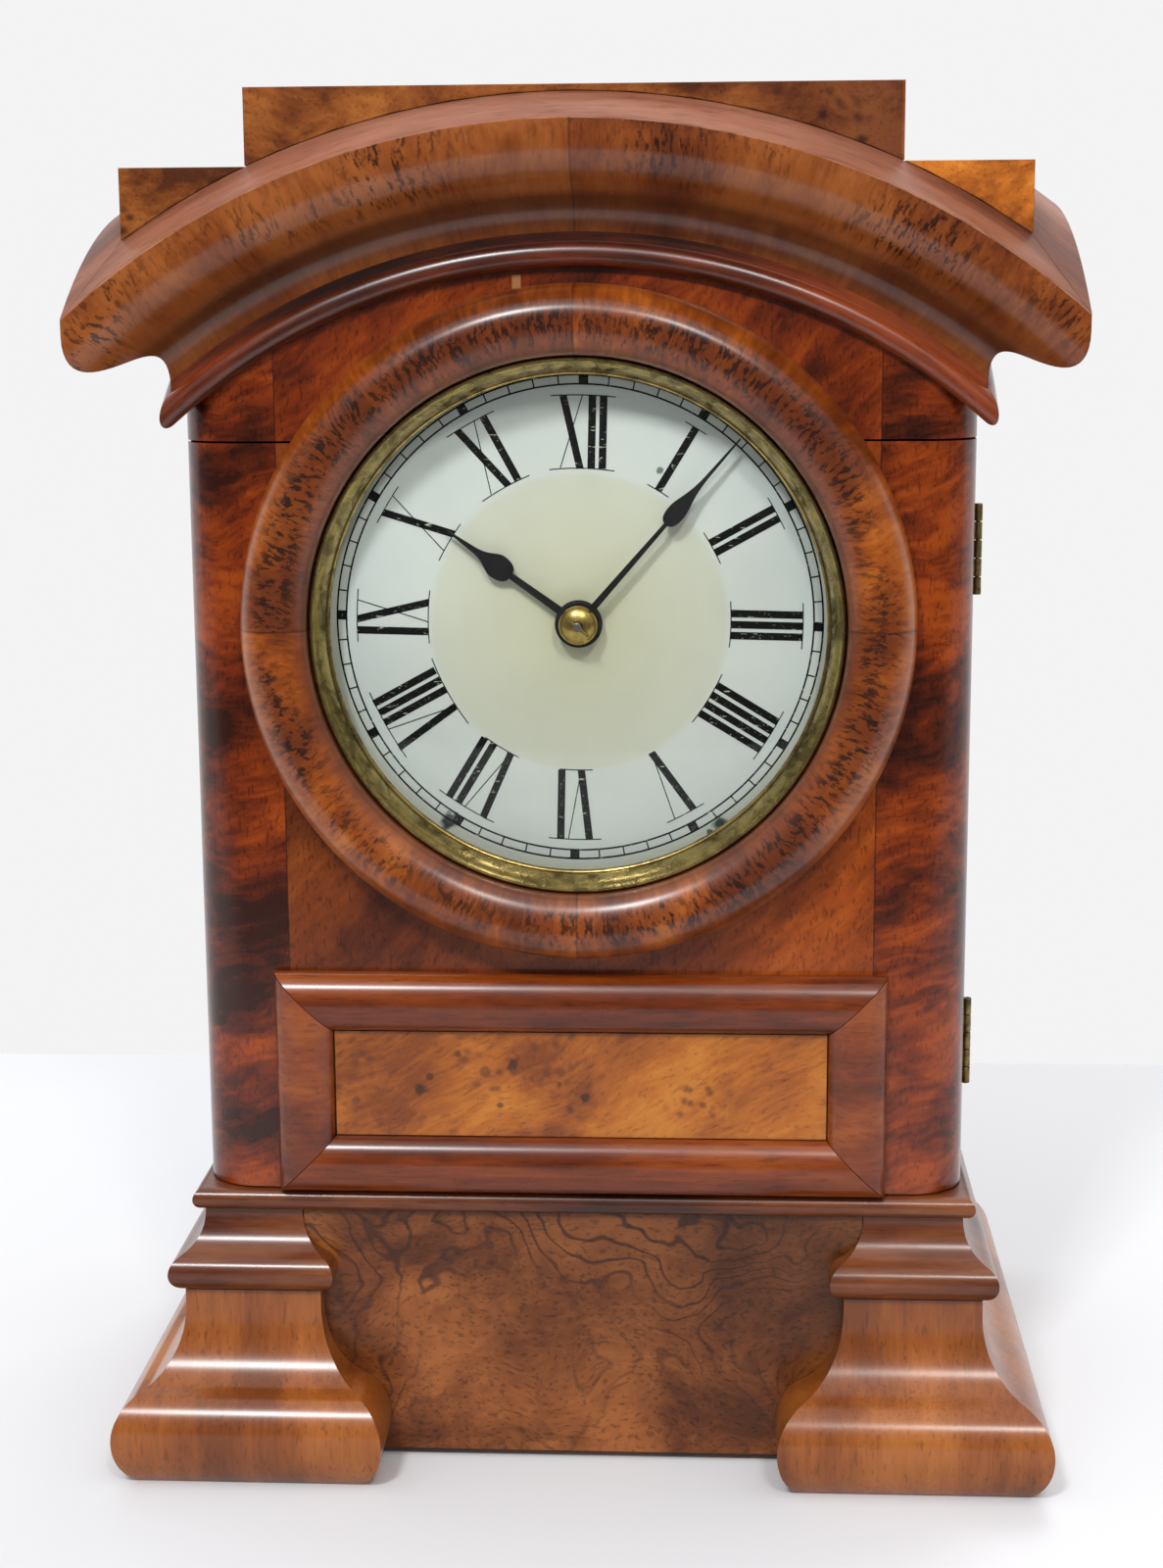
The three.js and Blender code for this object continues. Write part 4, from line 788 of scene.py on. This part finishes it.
def cap_profile():
    nose = arc(4.2, 60.3, 5.5, 5.5, -75, 60, 16)
    return nose + bezier((6.95, 65.06), (4.6, 66.4), (-0.3, 69), (-0.3, CAP_TOP), 14)[1:]


def platform_profile():
    half = PLATFORM_THICKNESS / 2
    middle = CAP_TOP + GAP + half
    return arc(PLATFORM_NOSE - half, middle, half, half, -90, 90, 14)


def flared(name, profile, outer, inner, material):
    """Stacked rectangles whose front and sides stand out by the profile."""
    rings = []
    for v, z in profile:
        x0, x1 = outer - v, inner + v
        rings.append([(x0, -v, z), (x1, -v, z), (x1, CASE_DEPTH, z), (x0, CASE_DEPTH, z)])
    return loft(name, rings, [material], sharp=BASE_SHARP)


def base_piece(name, profile, material):
    """A left foot or cap, cut back behind the apron and between the runners."""
    top = profile[-1][1] + CUT_MARGIN
    back = CASE_DEPTH + CUT_MARGIN
    body = flared(name, profile, -CASE_HALF, -FOOT_INNER_X, material)
    behind = block("cut_a", (-FOOT_INNER_X - GAP, 0), (APRON_FRONT - GAP, back),
                   (-CUT_MARGIN, top))
    inside = block("cut_b", (-RUNNER_INNER_X, CUT_MARGIN),
                   (FOOT_FRONT_DEPTH, back + CUT_MARGIN), (-2 * CUT_MARGIN, top + CUT_MARGIN))
    return carve(body, [behind, inside], BASE_SHARP)


for part, profile, wood in (("foot", foot_profile(), feet_wood),
                            ("foot_cap", cap_profile(), cap_wood)):
    left = base_piece(f"{part}_left_fine", profile, wood)
    right = mirrored(f"{part}_right_fine", left)
    dress(left, "case", "walnut", f"{part}_left")
    dress(right, "case", "walnut", f"{part}_right")
platform = flared("platform_fine", platform_profile(), -CASE_HALF, CASE_HALF, cap_wood)
dress(platform, "case", "walnut", "platform")


# -------- hood
def mitre_height(v, u):
    """Height at which the front moulding's section point (v out, u up) reaches the mitre."""
    return ARCH_Z + sqrt((BEAD_RADIUS + u) ** 2 - (CASE_HALF + v) ** 2)


SIDE_CHORD = SIDE_MID + HOOD_NOSE
SIDE_RADIUS = (SIDE_CHORD ** 2 + SIDE_RISE ** 2) / (2 * SIDE_RISE)
SIDE_CENTRE = mitre_height(HOOD_NOSE, ARRIS) + SIDE_RISE - SIDE_RADIUS

bead_points = arc(BEAD_STEP, BEAD_HEIGHT / 2, BEAD_PROJECTION - BEAD_STEP, BEAD_HEIGHT / 2,
                  -90, 90, 14)
sweep_points = (
    bezier((1.1, 9.5), (1.8, 16.5), (5, 18), (10.3, 19.7), 14)
    + bezier((10.3, 19.7), (15.5, 21.4), (HOOD_NOSE, 24.2), (HOOD_NOSE, 35), 16)[1:]
    + [(HOOD_NOSE, ARRIS)]
)
HOOD_PROFILE = ([(GAP, 0)] + bead_points + sweep_points
                + [(BEVEL_INSET, BEVEL_HEIGHT), (GAP, BEVEL_HEIGHT)])
SWEEP_SLOT, BEAD_SLOT, BEVEL_SLOT = range(3)
HOOD_SLOTS = ([BEAD_SLOT] * (len(bead_points) + 1) + [SWEEP_SLOT] * (len(sweep_points) - 1)
              + [BEVEL_SLOT] * 3)


def front_point(v, u, share):
    """A point of the front moulding, a share of the way from the left mitre to the right."""
    radius = BEAD_RADIUS + u
    angle = asin((CASE_HALF + v - MITRE) / radius) * (2 * share - 1)
    return radius * sin(angle), -v, ARCH_Z + radius * cos(angle)


def side_point(v, u, share):
    """A point of the right moulding, a share of the way from its mitre to the back."""
    radius = hypot(mitre_height(v, u) - SIDE_CENTRE, SIDE_MID + v)
    start = -asin((SIDE_MID + v - MITRE) / radius)
    end = asin((CASE_DEPTH - SIDE_MID) / radius)
    angle = start + (end - start) * share
    return (CASE_HALF + v, SIDE_MID + radius * sin(angle), SIDE_CENTRE + radius * cos(angle))


def hood_piece(name, sections, point, sweep_wood):
    rings = [[point(v, u, i / sections) for v, u in HOOD_PROFILE] for i in range(sections + 1)]
    return loft(name, rings, [sweep_wood, bead_wood, bevel_wood_and_sheen], HOOD_SLOTS)


hood_right = hood_piece("hood_right_fine", 64, side_point, hood_side_wood)
hood_left = mirrored("hood_left_fine", hood_right)
hood_front = hood_piece("hood_front_fine", 112, front_point, hood_wood)
dress(hood_front, "case", "burr", "hood_moulding_front")
dress(hood_right, "case", "burr", "hood_moulding_right")
dress(hood_left, "case", "burr", "hood_moulding_left")

# -------- door and frieze
HINGE_Z = [[corner.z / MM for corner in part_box(name)]
           for name in ("upper_hinge_door_leaf", "lower_hinge_door_leaf")]
LEAF_X = 104.25
DOOR_LEAF_FRONT = 16.9


def rounded_plan():
    """Door or frieze from above, its front corners rounded."""
    inner, r = CASE_HALF - CORNER_RADIUS, CORNER_RADIUS
    corners = arc(-inner, r, r, r, 180, 270, 20) + arc(inner, r, r, r, 270, 360, 20)
    return [(-CASE_HALF, DOOR_THICKNESS), *corners, (CASE_HALF, DOOR_THICKNESS)]


def opening():
    return cylinder("opening", OPENING_RADIUS, (-CUT_MARGIN, DOOR_THICKNESS + CUT_MARGIN),
                    (0, DIAL_Z), 192)


mortises = [block("mortise", (LEAF_X - GAP, CASE_HALF + CUT_MARGIN),
                  (DOOR_LEAF_FRONT - GAP, DOOR_THICKNESS + CUT_MARGIN), (low - GAP, high + GAP))
            for low, high in HINGE_Z]
door = carve(prism("door_fine", rounded_plan(), DOOR_Z, [door_wood]), [opening()] + mortises)
frieze = carve(prism("frieze_fine", rounded_plan(), FRIEZE_Z, [frieze_wood]), [opening()])
dress(door, "front_door", "case_wood", "door")
dress(frieze, "case", "case_wood", "frieze")

# -------- ring, bezel and glass
# Profiles are (radius, Y).
ring_profile = (
    [(RING_INNER, -GAP), (RING_OUTER, -GAP)]
    + arc(RING_CREST, -RING_OUTER_HEIGHT, RING_OUTER - RING_CREST,
          RING_OUTER_HEIGHT - RING_HEIGHT, 0, 90, 18)
    + arc(RING_CREST, -RING_INNER_HEIGHT, RING_CREST - RING_INNER,
          RING_INNER_HEIGHT - RING_HEIGHT, 90, 180, 16)[1:]
)
dress(lathe("door_ring_fine", ring_profile, [ring_wood], DIAL_CENTRE, 256),
      "front_door", "burr", "door_ring")

bezel_profile = (
    [(BEZEL_OUTER, BEZEL_BACK)]
    + arc(BEZEL_OUTER - 0.9, BEZEL_FRONT + 0.9, 0.9, -0.9, 0, 110, 8)
    + bezier((BEZEL_OUTER - 1.6, BEZEL_FRONT + 1.2), (BEZEL_OUTER - 3, BEZEL_FRONT + 2.6),
             (BEZEL_INNER + 1.4, -2.8), (BEZEL_INNER + 0.9, -1.2), 8)
    + arc(BEZEL_INNER + 0.7, -0.4, 0.7, 0.6, -60, -180, 5)
    + [(BEZEL_INNER, LIP_THICKNESS), (BEZEL_OUTER - BEZEL_WALL, LIP_THICKNESS),
       (BEZEL_OUTER - BEZEL_WALL, BEZEL_BACK)]
)
dress(lathe("bezel_fine", bezel_profile, [bezel_brass], DIAL_CENTRE, 256), "front_door", "brass",
      "bezel")

DOME_STEPS = 20
CORE = 0.02  # keeps a turned piece's profile off its axis


def dome(y):
    radius = (GLASS_RIM ** 2 + GLASS_RISE ** 2) / (2 * GLASS_RISE)
    points = []
    for i in range(DOME_STEPS + 1):
        r = max(GLASS_RIM * i / DOME_STEPS, CORE)
        points.append((r, y - sqrt(radius ** 2 - r ** 2) + radius - GLASS_RISE))
    return points


glass_profile = dome(GLASS_RIM_Y) + dome(GLASS_RIM_Y + GLASS_THICKNESS)[::-1]
dress(lathe("glass_fine", glass_profile, [clock_glass], DIAL_CENTRE, 128), "front_door", "glass",
      "glass")


# -------- panel
def frame_length(name, outer_length, degrees, x, z, material):
    """A mitred length of rounded moulding, its outer edge turned to face away."""
    shoulder = GAP + 2
    half = PANEL_WIDTH / 2
    section = ([(PANEL_WIDTH, GAP)]
               + arc(half, shoulder, half, PANEL_HEIGHT - shoulder, 0, 180, 28)
               + [(0, GAP)])
    c, s = turn_of(degrees)
    rings = []
    for side in (-1, 1):
        ring = []
        for inset, height in section:
            along = side * (outer_length / 2 - inset - MITRE)
            ring.append((x + along * c + inset * s, -height, z - along * s + inset * c))
        rings.append(ring)
    return loft(name, rings, [material])


upright = PANEL_TOP - DOOR_Z[0]
panel_middle = (PANEL_TOP + DOOR_Z[0]) / 2
for place, length, degrees, x, z, wood in (
    ("bottom", 2 * PANEL_HALF, 0, 0, DOOR_Z[0], frame_wood),
    ("top", 2 * PANEL_HALF, 180, 0, PANEL_TOP, frame_wood),
    ("left", upright, 90, -PANEL_HALF, panel_middle, upright_wood),
    ("right", upright, -90, PANEL_HALF, panel_middle, upright_wood),
):
    piece = frame_length(f"panel_frame_{place}_fine", length, degrees, x, z, wood)
    dress(piece, "front_door", "burr", f"panel_frame_{place}")

# -------- dial
DIAL_FEET = (-40, 40)
DIAL_FOOT_RADIUS = 2.5
DIAL_FOOT_SINK = 0.4
# The painting sits a little above the middle and is turned a little to the right.
PAINT_CENTRE = (0, DIAL_Z + 0.6)
PAINT_TURN = 1.4
PAINT_Y = (DIAL_Y - 0.06, DIAL_Y + 0.02)
TRACK_OUTER = 69.6
TRACK_INNER = 67
TRACK_LINE = 0.5
MINUTE_MARK = 0.4
FIVE_MINUTE_MARK = 2.7
FIVE_MINUTE_REACH = 0.2
LINE_STEP = 2  # degrees between the points of a painted circle
NUMERAL_TOP = 63.9
NUMERAL_BOTTOM = 43.4
STROKE = 2.15
HAIR = 0.3
SPACE = 1
SERIF_STEPS = 6
SERIF_BOW = 0.6
SERIF_OVERHANG = 2.4
NARROW_SERIF = 0.62
HOURS = ("XII", "I", "II", "III", "IIII", "V", "VI", "VII", "VIII", "IX", "X", "XI")
# Each letter's width and its strokes: their places across at the top and bottom, and width.
GLYPHS = {
    "I": (STROKE, [(0.5, 0.5, STROKE)]),
    "V": (7.4, [(0.15, 0.52, STROKE), (0.98, 0.52, HAIR)]),
    "X": (7.4, [(0.15, 0.85, STROKE), (0.9, 0.1, HAIR)]),
}

dial_back = DIAL_Y + DIAL_THICKNESS
dial_plate = lathe("dial_plate", washer(DIAL_HOLE, DIAL_RADIUS, DIAL_Y, dial_back), [dial_paint],
                   DIAL_CENTRE, 192)
feet_y = (dial_back - DIAL_FOOT_SINK, (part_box("dial")[1].y - DOOR_FRONT) / MM)
dial_feet = [cylinder("dial_foot", DIAL_FOOT_RADIUS, feet_y, (x, DIAL_Z + z), 32)
             for x in DIAL_FEET for z in DIAL_FEET]
dress(join("dial_fine", [dial_plate] + dial_feet), "case", "dial_paint", "dial")


def on_dial(degrees, across, out):
    """Clock X and Z of a point across and outwards of the paint's centre line at an angle."""
    c, s = turn_of(degrees + PAINT_TURN)
    return (PAINT_CENTRE[0] + across * c + out * s, PAINT_CENTRE[1] - across * s + out * c)


def painted(degrees, points):
    """Close an outline of (across, out) at an angle into a thin layer of paint."""
    flat = [on_dial(degrees, across, out) for across, out in points]
    return loft("paint", [[(x, y, z) for x, z in flat] for y in PAINT_Y], [dial_ink])


def bar(degrees, inner, outer, width, top=0, bottom=0):
    """A straight mark between two radii; top and bottom are its places across at its ends."""
    half = width / 2
    return painted(degrees, [(top - half, outer), (top + half, outer),
                             (bottom + half, inner), (bottom - half, inner)])


def serif(degrees, reach, out):
    """A thin line across a numeral's end, bowed with the dial."""
    places = [-reach + 2 * reach * i / SERIF_STEPS for i in range(SERIF_STEPS + 1)]
    inner, outer = [[(p, sqrt((out + offset) ** 2 - p * p * SERIF_BOW)) for p in places]
                    for offset in (-HAIR / 2, HAIR / 2)]
    return painted(degrees, inner + outer[::-1])


def numeral(text, degrees):
    widths = [GLYPHS[letter][0] for letter in text]
    total = sum(widths) + SPACE * (len(text) - 1)
    place = -total / 2
    pieces = []
    for letter, width in zip(text, widths):
        for top, bottom, thickness in GLYPHS[letter][1]:
            pieces.append(bar(degrees, NUMERAL_BOTTOM, NUMERAL_TOP, thickness,
                              place + width * top, place + width * bottom))
        place += width + SPACE
    reach = total / 2 + SERIF_OVERHANG
    pieces.append(serif(degrees, reach, NUMERAL_TOP))
    if text in ("VI", "VII"):
        reach *= NARROW_SERIF
    if text != "V":
        pieces.append(serif(degrees, reach, NUMERAL_BOTTOM))
    return pieces


def ring_line(radius):
    rings = []
    for degrees in [*range(0, 360, LINE_STEP), 0]:
        (ax, az), (bx, bz) = (on_dial(degrees, 0, radius + side * TRACK_LINE / 2)
                              for side in (-1, 1))
        rings.append([(ax, PAINT_Y[0], az), (bx, PAINT_Y[0], bz),
                      (bx, PAINT_Y[1], bz), (ax, PAINT_Y[1], az)])
    return loft("paint", rings, [dial_ink], caps=False)


ink = [ring_line(TRACK_OUTER), ring_line(TRACK_INNER)]
for minute in range(60):
    reach, width = (0, MINUTE_MARK) if minute % 5 else (FIVE_MINUTE_REACH, FIVE_MINUTE_MARK)
    ink.append(bar(minute * 6, TRACK_INNER - reach, TRACK_OUTER + reach, width))
for hour, text in enumerate(HOURS):
    ink += numeral(text, hour * 30)
dress(join("dial_painting", ink, 80), "case", "dial_paint")

# -------- hands
MINUTE_Y = (3.6, 4.4)
HOUR_Y = (5.6, 6.4)
MINUTE_ANGLE = 41.2
HOUR_ANGLE = 305.5
STEM_START = 2
TIP_HALF = 0.22
BOSS_PROUD = 0.02
OUTLINE_STEPS = 10


def hand_outline(length, stem, waist, pear_from, pear_at, pear):
    """Half of a spade hand as (across, along): stem, round pear and long tip."""
    rest = length - pear_at
    bulge = bezier((waist, pear_from), (pear * 0.75, pear_from + 0.25),
                   (pear, pear_from + (pear_at - pear_from) * 0.4), (pear, pear_at),
                   OUTLINE_STEPS)
    taper = bezier((pear, pear_at), (pear, pear_at + rest * 0.14),
                   (waist * 1.3, pear_at + rest * 0.2), (waist * 0.9, pear_at + rest * 0.48),
                   OUTLINE_STEPS)
    return [(stem, STEM_START)] + bulge + taper[1:] + [(TIP_HALF, length)]


def hand(name, outline, boss, hole, y, degrees):
    c, s = turn_of(degrees)
    points = outline + [(-x, z) for x, z in reversed(outline)]
    rings = [[(x * c + z * s, depth, DIAL_Z - x * s + z * c) for x, z in points] for depth in y]
    blade = loft(name, rings, [blued])
    ring = washer(hole, boss, y[0] - BOSS_PROUD, y[1] + BOSS_PROUD)
    disc = lathe("boss", ring, [blued], DIAL_CENTRE, 64)
    eye = cylinder("eye", hole, (y[0] - CUT_MARGIN, y[1] + CUT_MARGIN), (0, DIAL_Z), 64)
    return join(name, [carve(blade, [eye]), disc])


minute_outline = hand_outline(length=69.5, stem=1.05, waist=0.6, pear_from=37.8, pear_at=42,
                              pear=2.6)
hour_outline = hand_outline(length=45.6, stem=1.2, waist=0.9, pear_from=23.6, pear_at=28.3,
                            pear=3.5)
dress(hand("minute_hand_fine", minute_outline, 6.5, 2.4, MINUTE_Y, MINUTE_ANGLE),
      "minute_works", "blued_steel", "minute_hand")
dress(hand("hour_hand_fine", hour_outline, 6.8, 3.9, HOUR_Y, HOUR_ANGLE),
      "hour_works", "blued_steel", "hour_hand")

COLLET_BORE = 1.5
COLLET_RADIUS = 5.6
COLLET_BACK = 3.3
COLLET_RIM = 2.6
COLLET_RISE = 2.9
COLLET_FACE = -0.28
collet_profile = (
    [(COLLET_BORE, COLLET_BACK), (COLLET_RADIUS, COLLET_BACK), (COLLET_RADIUS, COLLET_RIM)]
    + [(r, COLLET_RIM - h) for r, h in arc(0, 0, COLLET_RADIUS, COLLET_RISE, 8, 74, 14)]
    + [(COLLET_BORE, COLLET_FACE)]
)
dress(lathe("hand_collet_fine", collet_profile, [brass], DIAL_CENTRE, 96), "minute_works",
      "brass", "hand_collet")

ARBOR_RADIUS = 1.24
ARBOR_START = 2.9
ARBOR_CHAMFER = 0.3
TIP_Y = -2.5
PIN_RADIUS = 0.49
PIN_TAPER = 1.1
PIN_HALF = 4
PIN_Y = -1.2
PIN_ANGLE = 40
tip_profile = [(CORE, ARBOR_START), (ARBOR_RADIUS, ARBOR_START),
               (ARBOR_RADIUS, TIP_Y + ARBOR_CHAMFER), (ARBOR_RADIUS - 0.25, TIP_Y),
               (CORE, TIP_Y - 0.05)]
dress(lathe("arbor_tip", tip_profile, [steel], DIAL_CENTRE, 48), "centre_arbor", "steel")


def hand_pin():
    """The taper pin across the arbor, running down to the right."""
    c, s = turn_of(PIN_ANGLE)
    rings = []
    for along, radius in ((-PIN_HALF, PIN_RADIUS), (PIN_HALF, PIN_RADIUS * PIN_TAPER)):
        rings.append([(along * c + px * s, PIN_Y + py, DIAL_Z - along * s + px * c)
                      for px, py in arc(0, 0, radius, radius, 0, 360, 24)[:-1]])
    return loft("hand_pin", rings, [dull_brass])


dress(hand_pin(), "centre_arbor", "brass")

# -------- hinges
HINGE_X = 113.75
HINGE_Y = 18.3
KNUCKLE = 1.2
KNUCKLES = 5
KNUCKLE_GAP = 0.3
KNUCKLE_ROUND = 0.12
KNUCKLE_BORE = 0.85
HINGE_PIN = 0.6
HINGE_CORE = 0.05
LEAF_SPREAD = 0.2
LEAF_REACH = 1.4
TAB_REACH = 1
LEAF_EDGE = HINGE_X - KNUCKLE - GAP


def hinge_leaf(name, low, high, parity):
    """A leaf with every second knuckle; the case's, of parity 0, also holds the pin."""
    length = (high - low - KNUCKLE_GAP * (KNUCKLES - 1)) / KNUCKLES
    side = -1 if parity else 1
    bore = KNUCKLE_BORE if parity else HINGE_CORE
    plate_y, tab_y = (sorted((HINGE_Y + side * LEAF_SPREAD, HINGE_Y + side * reach))
                      for reach in (LEAF_REACH, TAB_REACH))
    pieces = [block("leaf", (LEAF_X, LEAF_EDGE), plate_y, (low, high), [dull_brass])]
    soft = KNUCKLE_ROUND
    profile = [(bore, 0), (KNUCKLE - soft, 0), (KNUCKLE, soft), (KNUCKLE, length - soft),
               (KNUCKLE - soft, length), (bore, length)]
    for i in range(parity, KNUCKLES, 2):
        start = low + i * (length + KNUCKLE_GAP)
        pieces.append(lathe("knuckle", profile, [dull_brass], (HINGE_X, HINGE_Y, start), 32, "Z"))
        pieces.append(block("tab", (LEAF_EDGE - 0.5, HINGE_X - 0.9), tab_y,
                            (start, start + length), [dull_brass]))
    if parity == 0:
        pin = washer(HINGE_CORE, HINGE_PIN, low, high)
        pieces.append(lathe("pin", pin, [steel], (HINGE_X, HINGE_Y, 0), 24, "Z"))
    return join(name, pieces)


for place, (low, high) in zip(("upper", "lower"), HINGE_Z):
    for leaf, body, parity in (("case", "case", 0), ("door", "front_door", 1)):
        node_name = f"{place}_hinge_{leaf}_leaf"
        dress(hinge_leaf(f"{node_name}_fine", low, high, parity), body, "brass", node_name)

# -------- carried-over nodes
for names, material in (
    (("crest_lower", "crest_upper"), crest_wood),
    (("apron",), apron_wood),
    (("burr_panel",), panel_wood),
    (("side_left", "side_right", "back_door"), side_wood),
    (("dial_board", "seat_board", "back_rail_bottom", "back_rail_top"), deal),
    (("back_door_knob", "front_plate", "back_plate", "barrel", "intermediate_wheel",
      "centre_wheel", "third_wheel", "escape_wheel", "pendulum_cock", "bob", "rating_nut",
      "cannon_pinion", "minute_wheel", "hour_wheel", "pillar_lower_left",
      "pillar_lower_right", "pillar_upper_left", "pillar_upper_right"), brass),
    (("winding_arbor", "click", "anchor", "pendulum_rod", "seat_bolt_left",
      "seat_bolt_right"), steel),
):
    for node_name in names:
        mesh = nodes[node_name].data
        mesh.materials.clear()
        mesh.materials.append(material)

# -------- floor, backdrop and light
# Metres in the frame.
FLOOR_HALF = 2.5
FLOOR_FRONT = -0.62
WALL_Y = 0.34
WALL_TOP = 2.6
PALE = linear(243, 243, 244)
SKY = ((0, 0.13), (0.4, 0.42), (0.9, 1.3))  # (share of the way up, brightness)
SKY_BLUE = 1.02
LAMP_TARGET = Vector((0, 0, 0.22))
LAMP_DISTANCE = 2.2


def sheet(name, low, high, mat):
    """A wide flat piece from a low edge to a high one, each given as (y, z)."""
    mesh = bpy.data.meshes.new(name)
    corners = [(-FLOOR_HALF, *low), (FLOOR_HALF, *low), (FLOOR_HALF, *high), (-FLOOR_HALF, *high)]
    mesh.from_pydata(corners, [], [(0, 1, 2, 3)])
    mesh.materials.append(mat.material)
    linked(name, mesh)


floor_paint = Shader("floor_paint")
floor_paint.surface(Base_Color=linear(217, 218, 220), Roughness=0.6, Specular_IOR_Level=0.2)
sheet("floor", (FLOOR_FRONT, 0), (FLOOR_HALF, 0), floor_paint)

# The wall shows from its front to the camera, in gloss and through glass, and lets all other
# light through.
wall_paint = Shader("wall_paint")
path = wall_paint.node("LightPath")
seen = wall_paint.math("MAXIMUM", path.outputs["Is Camera Ray"], path.outputs["Is Glossy Ray"])
seen = wall_paint.math("MAXIMUM", seen, path.outputs["Is Transmission Ray"])
front = wall_paint.minus(1, wall_paint.node("NewGeometry").outputs["Backfacing"])
plain = wall_paint.node("Emission", {"Color": PALE})
clear = wall_paint.node("BsdfTransparent")
wall_paint.show(wall_paint.node("MixShader", {
    0: wall_paint.times(seen, front), 1: clear.outputs[0], 2: plain.outputs[0],
}))
sheet("wall", (WALL_Y, 0), (WALL_Y, WALL_TOP), wall_paint)

world = bpy.data.worlds.new("world")
scene.world = world
world.use_nodes = True
sky = Tree(world.node_tree)
height = sky.split(sky.node("TexCoord").outputs["Generated"])[2]
glow = sky.ramp(height, *[(up, (level, level, level * SKY_BLUE, 1)) for up, level in SKY])
shown = sky.mix(sky.node("LightPath").outputs["Is Camera Ray"], glow, PALE)
sky.put(world.node_tree.nodes["Background"].inputs["Color"], shown)


def area_light(name, azimuth, elevation, size, power, color=(1, 1, 1)):
    """A square lamp aimed at the clock; azimuth is to the right of straight ahead."""
    (ahead, right), (level, up) = turn_of(azimuth), turn_of(elevation)
    away = Vector((right * level, -ahead * level, up))
    data = bpy.data.lights.new(name, "AREA")
    data.shape = "SQUARE"
    data.size = size
    data.energy = power
    data.color = color
    lamp = linked(name, data)
    lamp.location = LAMP_TARGET + away * LAMP_DISTANCE
    lamp.rotation_euler = (-away).to_track_quat("-Z", "Y").to_euler()


area_light("left_lamp", -16.5, 42, size=0.26, power=25, color=(0.96, 0.98, 1))
area_light("right_lamp", 14.4, 38, size=0.26, power=13, color=(1, 0.95, 0.9))
area_light("back_lamp", 160, 45, size=0.9, power=14)
